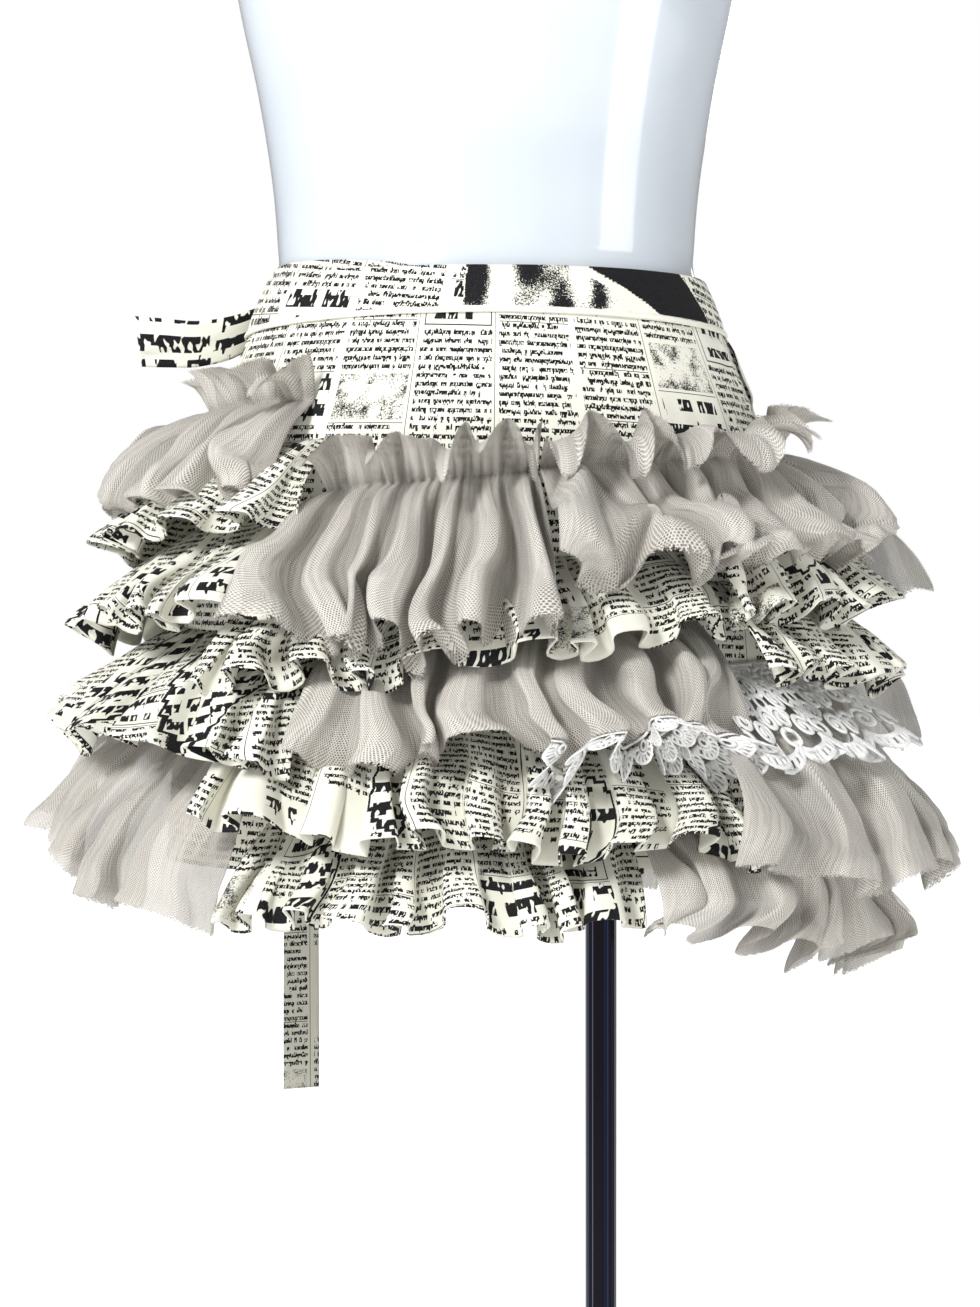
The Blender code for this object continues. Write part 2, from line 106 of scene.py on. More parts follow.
HEADER_DEPTH = 0.006
FOLD_CORNERS = 4
FOLD_SPREAD = 0.15
FOLD_WARP = 0.35
FOLD_LEAN = 0.3
FOLD_SWING = 0.25
WARP_TURNS = 3.0
LEAN_TURNS = 1.7
SWING_TURNS = 2.3
HEM_TURNS = 2.6
HEM_RISE = 0.05
ENDS_HELD = 8.0
WARP_HELD = 4.0
DROOP = 1.2
EDGING_FLARE = 0.6
EAR_RISE = 0.8
EAR_ROLL = 4.4
RUMPLE_OUT = 0.016
RUMPLE_DROP = 0.015
HEADER_ROWS = 8
SKIRT_RADIUS = 0.19
PHASE_STEP = 0.61803
WRINKLE = 0.0006
BAND_WALL = 0.0013
TIE_WALL = 0.0014
YOKE_WALL = 0.0009

Section = namedtuple("Section", "drop half_breadth half_depth")
FormSection = namedtuple("FormSection", "height half_breadth half_depth forward")
Ruffle = namedtuple(
    "Ruffle",
    "name look start end seam_start seam_end length_start length_end "
    "flare_start flare_end folds depth header tuck rumple print_turn bold_from fan",
    defaults=(0.0, 0.0, 0.3, 0.0, 0.46, 0.0),
)
TieSection = namedtuple("TieSection", "angle out drop half_width tilt")
Look = namedtuple(
    "Look",
    "slot roundness pillow fullness grow crease gather swell curl lift puff wander minor thick",
)
Ear = namedtuple("Ear", "along half_width strength")

SKIRT_SECTIONS = [
    Section(-0.020, 0.1280, 0.0950),
    Section(0.000, 0.1280, 0.0950),
    Section(0.036, 0.1420, 0.1060),
    Section(0.100, 0.1680, 0.1220),
    Section(0.250, 0.1840, 0.1380),
    Section(0.345, 0.1900, 0.1460),
]

FORM_SECTIONS = [
    FormSection(*row)
    for row in (
        # height, half breadth, half depth, forward
        (-0.302, 0.136, 0.092, 0.000),
        (-0.296, 0.150, 0.104, 0.000),
        (-0.270, 0.164, 0.116, 0.000),
        (-0.220, 0.172, 0.124, 0.000),
        (-0.160, 0.1715, 0.1235, 0.000),
        (-0.100, 0.1640, 0.1180, 0.000),
        (-0.036, 0.1393, 0.1033, 0.000),
        (0.000, 0.1253, 0.0923, 0.000),
        (0.020, 0.1247, 0.0922, 0.000),
        (0.060, 0.1283, 0.0945, 0.000),
        (0.108, 0.1360, 0.0990, 0.002),
        (0.150, 0.1450, 0.1040, 0.004),
        (0.190, 0.1530, 0.1070, 0.005),
        (0.235, 0.1640, 0.1060, 0.004),
        (0.285, 0.1720, 0.0990, 0.000),
        (0.325, 0.1620, 0.0880, -0.005),
        (0.358, 0.1270, 0.0770, -0.008),
        (0.386, 0.0790, 0.0640, -0.010),
        (0.408, 0.0580, 0.0560, -0.010),
        (0.440, 0.0520, 0.0520, -0.010),
        (0.470, 0.0510, 0.0510, -0.010),
    )
]

# How each cloth folds, by the columns of Look
MESH = Look(
    "knitted_mesh", 1.15, 0.75, 1.85, 0.38, 0.0010, 0.0024, 0.0080, 0.0100, 0.120, 0.0080, 1.70, 0.04, 0.0006
)
BROAD_MESH = MESH._replace(
    pillow=0.45, fullness=1.40, grow=0.50, crease=0.0012, gather=0.0026, swell=0.0065, curl=0.0085,
    lift=0.110, wander=0.60, minor=0.10,
)
FLOUNCE = BROAD_MESH._replace(
    fullness=1.05, grow=0.45, crease=0.0010, swell=0.0070, curl=0.0040, lift=0.045, puff=0.0070, minor=0.04
)
FLAT_MESH = Look(
    "knitted_mesh", 2.00, 0.10, 1.05, 0.60, 0.0016, 0.0016, 0.0030, 0.0050, 0.050, 0.0030, 0.50, 0.12, 0.0006
)
BACK_MESH = FLAT_MESH._replace(puff=0.0160)
PRINT = Look(
    "printed_cotton", 1.30, 0.35, 1.35, 0.60, 0.0012, 0.0021, 0.0020, 0.0060, 0.115, 0.0030, 0.60, 0.22,
    0.0009,
)
BOX_PRINT = PRINT._replace(
    roundness=2.60, pillow=0.00, fullness=1.20, crease=0.0009, gather=0.0016, curl=0.0040, lift=0.080,
    wander=0.55, minor=0.12,
)
LACE = Look(
    "cotton_lace", 1.30, 0.00, 1.00, 0.80, 0.0003, 0.0000, 0.0000, 0.0020, 0.040, 0.0010, 0.10, 0.00, 0.0007
)

RUFFLES = [
    # name, look, start, end, seam drop x2, length x2, flare x2, folds, depth
    Ruffle(
        "mesh_1_left", BROAD_MESH, -150, -36.5, 0.080, 0.082, 0.075, 0.062, 0.060, 0.046, 10, 0.010,
        header=0.027, tuck=0.010, rumple=1.3,
    ),
    Ruffle(
        "mesh_1_front", MESH, -30.4, 9.5, 0.134, 0.124, 0.087, 0.092, 0.058, 0.059, 7, 0.012,
        header=0.033, tuck=-0.003, rumple=0.8, fan=5,
    ),
    Ruffle(
        "mesh_1_right", MESH, 9.9, 100, 0.122, 0.102, 0.064, 0.062, 0.056, 0.042, 10, 0.012,
        header=0.033, tuck=0.004, rumple=2.0,
    ),
    Ruffle(
        "mesh_1_back", BACK_MESH, 101, 209, 0.100, 0.086, 0.096, 0.075, 0.098, 0.058, 9, 0.011,
        header=0.025, tuck=0.003, rumple=0.35,
    ),
    Ruffle(
        "print_2_left", PRINT, -145, -31, 0.122, 0.104, 0.058, 0.045, 0.052, 0.042, 10, 0.009,
        print_turn=12,
    ),
    Ruffle(
        "print_2_front", PRINT, -44, 38, 0.183, 0.166, 0.062, 0.045, 0.050, 0.043, 9, 0.008,
        print_turn=176,
    ),
    Ruffle(
        "print_2_right", PRINT, 38.8, 120, 0.143, 0.140, 0.062, 0.050, 0.050, 0.052, 10, 0.010,
        print_turn=-8, bold_from=0.40,
    ),
    Ruffle(
        "print_2_back", PRINT, 121, 214, 0.145, 0.130, 0.060, 0.060, 0.050, 0.050, 9, 0.010,
        print_turn=4,
    ),
    Ruffle(
        "print_3_left", PRINT, -140, -31.4, 0.163, 0.144, 0.058, 0.056, 0.062, 0.052, 11, 0.010,
        print_turn=-5,
    ),
    Ruffle(
        "mesh_3_front", MESH, -27, 40.5, 0.218, 0.205, 0.066, 0.062, 0.050, 0.048, 9, 0.010,
        tuck=0.002, rumple=0.35,
    ),
    Ruffle(
        "print_3_right", PRINT, 41.5, 104, 0.184, 0.178, 0.050, 0.064, 0.052, 0.058, 8, 0.010,
        print_turn=14, bold_from=0.25,
    ),
    Ruffle(
        "mesh_3_back", BACK_MESH, 105, 219, 0.182, 0.165, 0.100, 0.072, 0.090, 0.058, 9, 0.011,
        rumple=0.35,
    ),
    Ruffle(
        "print_4_left", BOX_PRINT, -135, -28, 0.196, 0.219, 0.055, 0.064, 0.076, 0.055, 11, 0.010,
        print_turn=-16, bold_from=0.12,
    ),
    Ruffle(
        "print_4_front", BOX_PRINT, -41, 40.5, 0.252, 0.272, 0.062, 0.062, 0.054, 0.052, 11, 0.010,
        print_turn=3,
    ),
    Ruffle(
        "mesh_4_right", FLOUNCE, 41.5, 118, 0.246, 0.240, 0.098, 0.122, 0.090, 0.086, 7, 0.014,
        tuck=0.006, rumple=0.5, fan=13,
    ),
    Ruffle(
        "print_4_back", PRINT, 119, 224, 0.245, 0.205, 0.070, 0.062, 0.062, 0.064, 10, 0.010,
        print_turn=8,
    ),
    Ruffle(
        "mesh_5_left", FLAT_MESH, -130, -39.2, 0.226, 0.284, 0.062, 0.096, 0.086, 0.060, 8, 0.013,
        tuck=0.003, rumple=0.35,
    ),
    Ruffle(
        "print_5_front", PRINT, -38.5, 23, 0.316, 0.314, 0.053, 0.054, 0.042, 0.043, 9, 0.010,
        print_turn=-4, bold_from=0.36,
    ),
    Ruffle(
        "mesh_5_right", MESH, 24, 103, 0.312, 0.324, 0.066, 0.090, 0.038, 0.040, 9, 0.010,
        tuck=0.002, rumple=0.35,
    ),
    Ruffle(
        "mesh_5_back", FLAT_MESH, 104, 229, 0.312, 0.262, 0.080, 0.088, 0.076, 0.070, 9, 0.012,
        rumple=0.35,
    ),
]
# Ears of the headers, which rise higher and roll over further
EARS = {
    "mesh_1_left": (Ear(0.80, 0.040, 0.22), Ear(0.93, 0.045, 0.40)),
    "mesh_1_front": (
        Ear(0.04, 0.050, 0.35), Ear(0.30, 0.045, 0.30), Ear(0.57, 0.060, 0.60), Ear(0.74, 0.04, 0.30),
        Ear(0.92, 0.050, 0.65),
    ),
    "mesh_1_right": (
        Ear(0.030, 0.028, 0.65), Ear(0.125, 0.034, 0.75), Ear(0.270, 0.040, 0.70), Ear(0.410, 0.042, 0.65),
        Ear(0.560, 0.045, 0.55), Ear(0.720, 0.045, 0.20),
    ),
}
LACE_FRILL = Ruffle("lace_right", LACE, 38, 88, 0.231, 0.223, 0.054, 0.052, 0.064, 0.066, 5, 0.009, rumple=0)
EDGING_CARRIER = "mesh_3_front"
EDGING_START = 0.46
EDGING_END = 0.97
EDGING_TOP = 1.0
EDGING_BOTTOM = 1.22
EDGING_DEPTH = 0.0134
EDGING_OUT = -0.0010
EDGING_CORD = 0.65
FRILL_DEPTH = 0.052
# Lengths of the lace's repeats in millimetres
FRILL_REPEAT = 20.0
EDGING_REPEAT = 16.0

SIDE_TIE = [
    TieSection(-117, 0.0042, 0.0225, 0.0140, -0.37),
    TieSection(-110, 0.0042, 0.0225, 0.0140, -0.37),
    TieSection(-103, 0.0070, 0.0260, 0.0142, -0.33),
    TieSection(-97, 0.0160, 0.0330, 0.0140, -0.20),
    TieSection(-93, 0.0320, 0.0375, 0.0138, -0.05),
    TieSection(-91, 0.0500, 0.0375, 0.0145, 0.08),
    TieSection(-90, 0.0660, 0.0370, 0.0150, 0.14),
]
BACK_TIE_ANGLE = -151.5
BACK_TIE_HALF_WIDTH = 0.0125
BACK_TIE = [
    # out from the skirt shell, and drop
    (0.0035, 0.010),
    (0.0090, 0.028),
    (0.0290, 0.050),
    (0.0400, 0.085),
    (0.0580, 0.120),
    (0.0780, 0.160),
    (0.0880, 0.200),
    (0.0925, 0.250),
    (0.0955, 0.310),
    (0.0950, 0.345),
]
BACK_TIE_END = 0.522

# Values of the picture attribute over its own range of 0 to 1.5: large marks, and no marks
BOLD = 2.0
BLANK = -1.0
# Share of light that the picture attribute lets through the thinnest mesh
SHEER = 0.18
# Depth of tone, in the hollow attribute, over the back tie: painted shade, with the print's duller wrong side
WRONG_SIDE_AND_SHADE = 1.2

# Kinds of block in the print, by where a random number from 0 to 1 falls: bare, lines of small
# marks, large marks, a box and a grainy picture end at these, and the rest is medium marks
BARE_TO = 0.04
BODY_TO = 0.72
HEADLINE_TO = 0.81
BOX_TO = 0.88
PHOTO_TO = 0.95

# Sizes of the print in millimetres: the space between columns, the indent, and half the width and
# height of a box's rule outside and inside and of the marks in it
MILLIMETRES = 1000.0
GUTTER = 2.5
INDENT = 2.0
BLOCK_LINES = 6.0
BOX_OUTSIDE = (23.5, 13.6)
BOX_INSIDE = (22.7, 12.8)
BOX_MARKS = (17.0, 10.0)

# Camera and light of the photograph
CAMERA_X = FORM_X + 0.0024
CAMERA_DISTANCE = 1.5
CAMERA_HEIGHT = WAIST_HEIGHT - 0.224
PHOTO_HEIGHT_PX = 1307
FOCAL_PX = 2500
SENSOR = 36.0
AIM_DROP = 0.15
WORLD_LIGHT = 0.26
FLOOR_GLOW = 0.22
LIGHT_PASSES = 12


def length_field(name, description, default, low, high, precision=5):
    return FloatProperty(
        name=name, description=description, default=default, min=low, max=high,
        unit="LENGTH", precision=precision,
    )


def colour_field(name, description, default):
    return FloatVectorProperty(
        name=name, description=description, subtype="COLOR", default=default, min=0.0, max=1.0
    )


class SkirtSizes(PropertyGroup):
    """Sizes of the skirt's cloth that a user would change"""

    fold_steps: IntProperty(
        name="Fold Steps", description="Columns of faces across one fold", default=18, min=8, max=32
    )
    rows: IntProperty(
        name="Rows", description="Rows of faces from seam to hem", default=26, min=8, max=60
    )
    net_pitch: length_field(
        "Net Pitch", "Distance between the holes of the knitted mesh", 0.00145, 0.0008, 0.006
    )
    line_pitch: length_field("Line Pitch", "Distance between the printed lines of marks", 0.0051, 0.002, 0.02)
    column_width: length_field(
        "Column Width", "Width of a printed column with its gutter", 0.053, 0.02, 0.2, 4
    )
    weave_pitch: length_field("Weave Pitch", "Distance between the cotton's threads", 0.00048, 0.0002, 0.003)
    lace_cord: length_field("Lace Cord", "Width of the lace's corded lines", 0.0023, 0.0005, 0.005)


class SkirtColours(PropertyGroup):
    """Colours of the skirt, the form and the stand"""

    cotton: colour_field("Cotton", "Ground of the printed cotton", (0.87, 0.86, 0.765))
    ink: colour_field("Ink", "Printed marks", (0.010, 0.010, 0.012))
    mesh: colour_field("Mesh", "Yarn of the knitted mesh", (0.71, 0.68, 0.625))
    # Painted shade of the skirt's dark inside, seen through the knitted mesh's holes
    mesh_shade: colour_field(
        "Mesh Shade", "Darker courses and holes of the knitted mesh", (0.26, 0.245, 0.215)
    )
    lace: colour_field("Lace", "Cotton lace", (0.93, 0.93, 0.92))
    shell: colour_field("Form", "Shell of the dress form", (0.58, 0.63, 0.69))
    tube: colour_field("Pole", "Polished pole", (0.009, 0.009, 0.012))
    plate: colour_field("Base", "Base plate", (0.045, 0.045, 0.05))


def sizes():
    return bpy.context.scene.skirt_sizes


def colours():
    return bpy.context.scene.skirt_colours


def lerp(a, b, share):
    return a + (b - a) * share


def smooth_step(low, high, value):
    share = min(1.0, max(0.0, (value - low) / (high - low)))
    return share * share * (3.0 - 2.0 * share)


def skirt_oval(drop):
    """Half breadth and half depth of the skirt shell at a drop."""
    rows = SKIRT_SECTIONS
    for upper, lower in zip(rows, rows[1:]):
        if drop <= lower.drop:
            share = max(0.0, (drop - upper.drop) / (lower.drop - upper.drop))
            return (
                lerp(upper.half_breadth, lower.half_breadth, share),
                lerp(upper.half_depth, lower.half_depth, share),
            )
    return rows[-1].half_breadth, rows[-1].half_depth


def outward(angle, drop):
    """The level direction that points away from the skirt shell there."""
    half_breadth, half_depth = skirt_oval(drop)
    turn = math.radians(angle)
    return Vector((math.sin(turn) / half_breadth, -math.cos(turn) / half_depth, 0.0)).normalized()


def on_skirt(angle, drop, out=0.0):
    """The point of the skirt shell at an angle and a drop, moved out by a distance."""
    half_breadth, half_depth = skirt_oval(drop)
    turn = math.radians(angle)
    across, front = half_breadth * math.sin(turn), half_depth * math.cos(turn)
    return Vector((FORM_X + across, -front, WAIST_HEIGHT - drop)) + outward(angle, drop) * out


def band_top(angle):
    return BAND_DIP * (1.0 + math.cos(math.radians(angle))) / 2.0


def band_bottom(angle):
    return BAND_BOTTOM + BAND_SIDE_DROP * (1.0 - math.cos(math.radians(2.0 * angle))) / 2.0


def name_phase(name):
    """A number from 0 to 1 that sets where a piece's uneven folds and print fall."""
    return math.fmod(sum(map(ord, name)) * PHASE_STEP, 1.0)


def fold_height(look, turn, fullness):
    """Height of the folds at a turn of their wave, from -1 in a valley to 1 on a crest.

    A pillowed fold is round on its crest and creased in its valley. Fullness from -1 to 1 widens
    the crest or the valley.
    """
    wave = math.tanh(look.roundness * (math.cos(turn) + 0.55 * fullness)) / math.tanh(look.roundness)
    pillow = 2.0 * abs(math.cos(turn / 2.0)) ** (0.9 - 0.5 * fullness) - 1.0
    return lerp(wave, pillow, look.pillow)


def fold_turn(ruffle, along):
    """Turn of a ruffle's fold wave at a share along it, in step with the corners of its solid."""
    return (along * (ruffle.folds * FOLD_CORNERS - 1) - 0.5) * math.pi / 2.0


def ear_strength(name, along):
    """How far a header's ears stand up at a share along it."""
    return sum(
        ear.strength * math.exp(-(((along - ear.along) / ear.half_width) ** 2)) for ear in EARS.get(name, ())
    )


def ruffle_point(ruffle, along, down):
    """A point of a gathered strip, with the folds of its solid and finer ones over them.

    along runs from 0 to 1 between its ends, and down from 0 at the seam to 1 at the hem,
    or to -1 at the top of its header.
    """
    look = ruffle.look
    phase = name_phase(ruffle.name)
    seed = 37.0 * phase
    turn = fold_turn(ruffle, along)
    fold_at = turn / FULL_TURN
    inner = 4.0 * along * (1.0 - along)
    edge = min(1.0, inner * ENDS_HELD)
    opening = max(down, 0.0)
    crest = fold_height(look, turn, 1.6 * noise.noise((fold_at * 0.9, down * 0.5, seed + 19.0)) - 0.3)
    warp = FOLD_WARP * math.sin(FULL_TURN * (WARP_TURNS * along + phase)) / (FULL_TURN * WARP_TURNS)
    warp -= FOLD_WARP * math.sin(FULL_TURN * phase) / (FULL_TURN * WARP_TURNS)
    lean = FOLD_LEAN * math.sin(FULL_TURN * (LEAN_TURNS * along + phase)) * inner
    wander = look.wander * noise.noise((fold_at * 0.8, down * 1.6, seed)) * edge
    spread = FOLD_SPREAD * math.sin(2.0 * turn) * edge
    shift = (spread + lean + wander) * opening / ruffle.folds
    at = min(1.0, max(0.0, along + warp * min(1.0, inner * WARP_HELD) + shift))
    angle = lerp(ruffle.start, ruffle.end, at) - ruffle.fan * math.sqrt(opening) * (1.0 - at) ** 2
    seam = lerp(ruffle.seam_start, ruffle.seam_end, at)
    jitter = noise.noise((fold_at * 1.3, 3.1, seed))
    gather_turn = turn * 1.5 + 4.0 * noise.noise((fold_at, 9.0, seed))
    gather = look.gather * (2.0 * abs(math.sin(gather_turn)) - 1.2)
    if down < 0.0:
        rise = -down
        height = ruffle.header * (1.0 + 0.25 * jitter)
        roll = noise.noise((fold_at * 1.1, 1.0, seed + 5.0)) + 0.25 * noise.noise((fold_at * 3.0, 4.0, seed))
        ear = ear_strength(ruffle.name, along)
        height *= 1.0 + EAR_RISE * ear
        bend = 0.85 + 0.25 * crest + 1.6 * ruffle.rumple * max(0.0, roll + 0.1) * (1.0 - 0.7 * along)
        bend += EAR_ROLL * ear
        drop = seam - height * math.sin(bend * rise) / bend
        out = height * (1.0 - math.cos(bend * rise)) / bend + rise * HEADER_DEPTH * (crest + 0.4 + 1.5 * ear)
        out += look.swell * (1.0 - math.exp(-rise * ruffle.header / 0.006)) + gather * (1.0 - 0.4 * rise)
        return on_skirt(angle, drop, LAYER + max(0.0002, out))
    long = lerp(ruffle.length_start, ruffle.length_end, at)
    uneven = 1.0 + HEM_RISE * math.sin(FULL_TURN * (HEM_TURNS * along + phase))
    uneven += (0.10 + 0.08 * ruffle.rumple) * jitter
    uneven -= look.lift * crest * down * down
    drop = seam + long * down * uneven
    flare = lerp(ruffle.flare_start, ruffle.flare_end, at)
    mean = flare * (1.0 - (1.0 - min(down, 1.0)) ** DROOP)
    mean += flare * EDGING_FLARE * max(0.0, down - 1.0)
    swing = 1.0 - FOLD_SWING + FOLD_SWING * math.sin(FULL_TURN * (SWING_TURNS * along + 2.0 * phase))
    swing *= 1.0 + 0.55 * noise.noise((fold_at * 0.9, 5.0, seed))
    wave = crest * ruffle.depth * look.fullness * swing * down**look.grow
    minor = math.sin(turn * 2.0 + 6.0 * noise.noise((fold_at * 0.6, down * 0.7, seed + 2.0)))
    wave += look.minor * ruffle.depth * minor * down**0.6 * (1.0 - 0.35 * down)
    wave += gather * math.exp(-3.0 * down)
    across = math.radians(angle) * SKIRT_RADIUS
    ridge = abs(noise.noise((across / 0.015, long * down / 0.045, seed + 7.0)))
    wave += look.crease * (0.8 - 3.0 * ridge) * min(1.0, down * 3.0)
    slump = noise.noise((across / 0.035, long * down / 0.016, seed + 11.0))
    wave += look.crease * 0.9 * slump * min(1.0, down * 3.0)
    rumple = ruffle.rumple * math.sin(math.pi * min(1.0, down)) ** 0.7
    wave += RUMPLE_OUT * rumple * noise.noise((across / 0.030, long * down / 0.034, seed + 13.0))
    drop += RUMPLE_DROP * rumple * noise.noise((across / 0.026, long * down / 0.030, seed + 17.0))
    puff = look.puff * math.sin(math.pi * min(1.0, down)) * (1.0 + noise.noise((fold_at, 1.0, seed)))
    puff += look.swell * (1.0 - math.exp(-long * down / 0.008)) * max(0.0, 1.0 - down)
    hem = smooth_step(0.66, 1.0, down)
    curl = look.curl * hem * hem * (0.35 * crest + noise.noise((fold_at * 1.1, 2.0, seed + 3.0)))
    tuck = ruffle.tuck * hem
    drop -= tuck * 0.7
    return on_skirt(angle, drop, LAYER + max(0.0003, mean + wave + puff + curl - tuck))


def grid_points(columns, rows, place):
    """Rows of points, the bottom row first, from place(share across, share up)."""
    return [[place(column / columns, row / rows) for column in range(columns + 1)] for row in range(rows + 1)]


def running_length(points):
    """Length of a line of points up to each of them."""
    total = [0.0]
    for here, there in zip(points, points[1:]):
        total.append(total[-1] + (there - here).length)
    return total


def grid_area(points):
    """Area of a grid of points, from its cells' diagonals."""
    area = 0.0
    for lower, upper in zip(points, points[1:]):
        for column in range(len(lower) - 1):
            first = upper[column + 1] - lower[column]
            second = upper[column] - lower[column + 1]
            area += first.cross(second).length / 2.0
    return area


def new_object(name, bm):
    """Ends the building of a mesh, and puts its object in the scene."""
    mesh = bpy.data.meshes.new(name)
    bm.to_mesh(mesh)
    bm.free()
    obj = bpy.data.objects.new(name, mesh)
    bpy.context.scene.collection.objects.link(obj)
    return obj


def new_wall(name, bm, uv, on_flat, thickness):
    """A smooth wall of a thickness about its mesh, with the flat place of each of its points."""
    for face in bm.faces:
        face.smooth = True
        for loop in face.loops:
            loop[uv].uv = on_flat[loop.vert]
    obj = new_object(name, bm)
    wall = obj.modifiers.new("wall", "SOLIDIFY")
    wall.thickness = thickness
    wall.offset = 0.0
    wall.use_even_offset = False
    return obj


def cloth_sheet(name, points, thickness, print_turn=0.0, picture=None, raw_edge=None, hollow=None):
    """A thin wall of cloth through rows of points, with a UV map of its flat cut in metres.

    picture gives how much of a printed picture is at a place, or BOLD or BLANK, and how sheer the
    thinnest mesh is. raw_edge gives how far a raw edge is, and hollow how much painted shade
    a place gets: in the valleys between folds and near the seam, and over the whole back tie, where
    it is painted shade with the print's duller wrong side.
    Returns the object and the width and length of its flat cut.
    """
    rows = len(points) - 1
    columns = len(points[0]) - 1
    across = running_length(points[round(rows * 0.3)])
    middle = columns // 2
    up = running_length([row[middle] for row in points])
    sampled = (columns // 4, middle, columns * 3 // 4)
    length = sum(running_length([row[column] for row in points])[-1] for column in sampled) / 3.0
    stretch = length / up[-1]
    bm = bmesh.new()
    bmesh.ops.create_grid(bm, x_segments=columns, y_segments=rows, size=1.0)
    uv = bm.loops.layers.uv.new("flat")
    picture_layer = bm.verts.layers.float.new("picture")
    edge_layer = bm.verts.layers.float.new("raw_edge")
    painted_shade_layer = bm.verts.layers.float.new("hollow")
    turn = math.radians(print_turn)
    offset = 3.0 * name_phase(name)
    on_flat = {}
    for vert in bm.verts:
        column = round((vert.co.x + 1.0) / 2.0 * columns)
        row = round((vert.co.y + 1.0) / 2.0 * rows)
        vert.co = points[row][column]
        u, v = across[column], up[row] * stretch
        on_flat[vert] = (
            u * math.cos(turn) - v * math.sin(turn) + offset,
            u * math.sin(turn) + v * math.cos(turn) + offset * 0.7,
        )
        vert[picture_layer] = picture(column / columns, row / rows) if picture else 0.0
        vert[edge_layer] = raw_edge(v, length) if raw_edge else 1.0
        vert[painted_shade_layer] = hollow(column / columns, row / rows) if hollow else 0.0
    obj = new_wall(name, bm, uv, on_flat, thickness)
    return obj, (grid_area(points) / length, length)


def dress(obj, node, slot, flat):
    """Gives a cloth piece its finish, hides the solid that it stands for and parents it to the body. flat,
    the size of its flat cut, is not used.
    """
    obj.data.materials.append(bpy.data.materials[slot + FINISH])
    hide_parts(node)
    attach(obj, BODY)


class Wires:
    """Adds and links the nodes of one tree, so that a pattern reads as a formula."""

    def __init__(self, tree):
        self.tree = tree

    def node(self, kind, **settings):
        made = self.tree.nodes.new(kind)
        for name, value in settings.items():
            setattr(made, name, value)
        return made

    def put(self, socket, value):
        if isinstance(value, bpy.types.NodeSocket):
            self.tree.links.new(value, socket)
        else:
            socket.default_value = value

    def math(self, operation, *values):
        made = self.node("ShaderNodeMath", operation=operation)
        for socket, value in zip(made.inputs, values):
            self.put(socket, value)
        return made.outputs[0]

    def add(self, a, b):
        return self.math("ADD", a, b)

    def sub(self, a, b):
        return self.math("SUBTRACT", a, b)

    def mul(self, a, b):
        return self.math("MULTIPLY", a, b)

    def div(self, a, b):
        return self.math("DIVIDE", a, b)

    def floor(self, a):
        return self.math("FLOOR", a)

    def over(self, a, b):
        return self.math("GREATER_THAN", a, b)

    def under(self, a, b):
        return self.math("LESS_THAN", a, b)

    def most(self, a, b):
        return self.math("MAXIMUM", a, b)

    def between(self, value, low, high):
        return self.mul(self.over(value, low), self.under(value, high))

    def ramp(self, value, low, high, start=0.0, end=1.0):
        made = self.node("ShaderNodeMapRange", interpolation_type="SMOOTHSTEP")
        for socket, item in zip(made.inputs, (value, low, high, start, end)):
            self.put(socket, item)
        return made.outputs[0]

    def vector(self, x, y, z=0.0):
        made = self.node("ShaderNodeCombineXYZ")
        for socket, value in zip(made.inputs, (x, y, z)):
            self.put(socket, value)
        return made.outputs[0]

    def parts(self, vector):
        made = self.node("ShaderNodeSeparateXYZ")
        self.put(made.inputs[0], vector)
        return made.outputs

    def random(self, x, y, z=0.0):
        """A value and three more values that are the same all over a cell."""
        made = self.node("ShaderNodeTexWhiteNoise", noise_dimensions="3D")
        self.put(made.inputs["Vector"], self.vector(x, y, z))
        return made.outputs["Value"], self.parts(made.outputs["Color"])

    def noise(self, vector, scale, detail=1.0, rough=0.5):
        made = self.node("ShaderNodeTexNoise", noise_dimensions="3D")
        self.put(made.inputs["Vector"], vector)
        self.put(made.inputs["Scale"], scale)
        self.put(made.inputs["Detail"], detail)
        self.put(made.inputs["Roughness"], rough)
        return made.outputs["Fac"]

    def attribute(self, name):
        return self.node("ShaderNodeAttribute", attribute_name=name).outputs["Fac"]

    def flat(self):
        """The place on the cloth's flat cut, in metres."""
        return self.node("ShaderNodeUVMap", uv_map="flat").outputs[0]

    def place(self):
        """The place on the object, in metres."""
        return self.node("ShaderNodeTexCoord").outputs["Object"]

    def mix(self, share, a, b):
        made = self.node("ShaderNodeMix", data_type="RGBA")
        self.put(made.inputs["Factor"], share)
        self.put(made.inputs["A"], a)
        self.put(made.inputs["B"], b)
        return made.outputs["Result"]

    def group(self, name, **values):
        made = self.node("ShaderNodeGroup", node_tree=bpy.data.node_groups[name])
        for key, value in values.items():
            self.put(made.inputs[key.replace("_", " ")], value)
        return made.outputs


def new_group(name, inputs, outputs):
    """An empty node group with float inputs, but for Vector, and float outputs."""
    tree = bpy.data.node_groups.new(name, "ShaderNodeTree")
    for label, value in inputs:
        kind = "NodeSocketVector" if label == "Vector" else "NodeSocketFloat"
        socket = tree.interface.new_socket(label, in_out="INPUT", socket_type=kind)
        if value is not None:
            socket.default_value = value
    for label in outputs:
        tree.interface.new_socket(label, in_out="OUTPUT", socket_type="NodeSocketFloat")
    wires = Wires(tree)
    return wires, wires.node("NodeGroupInput").outputs, wires.node("NodeGroupOutput").inputs


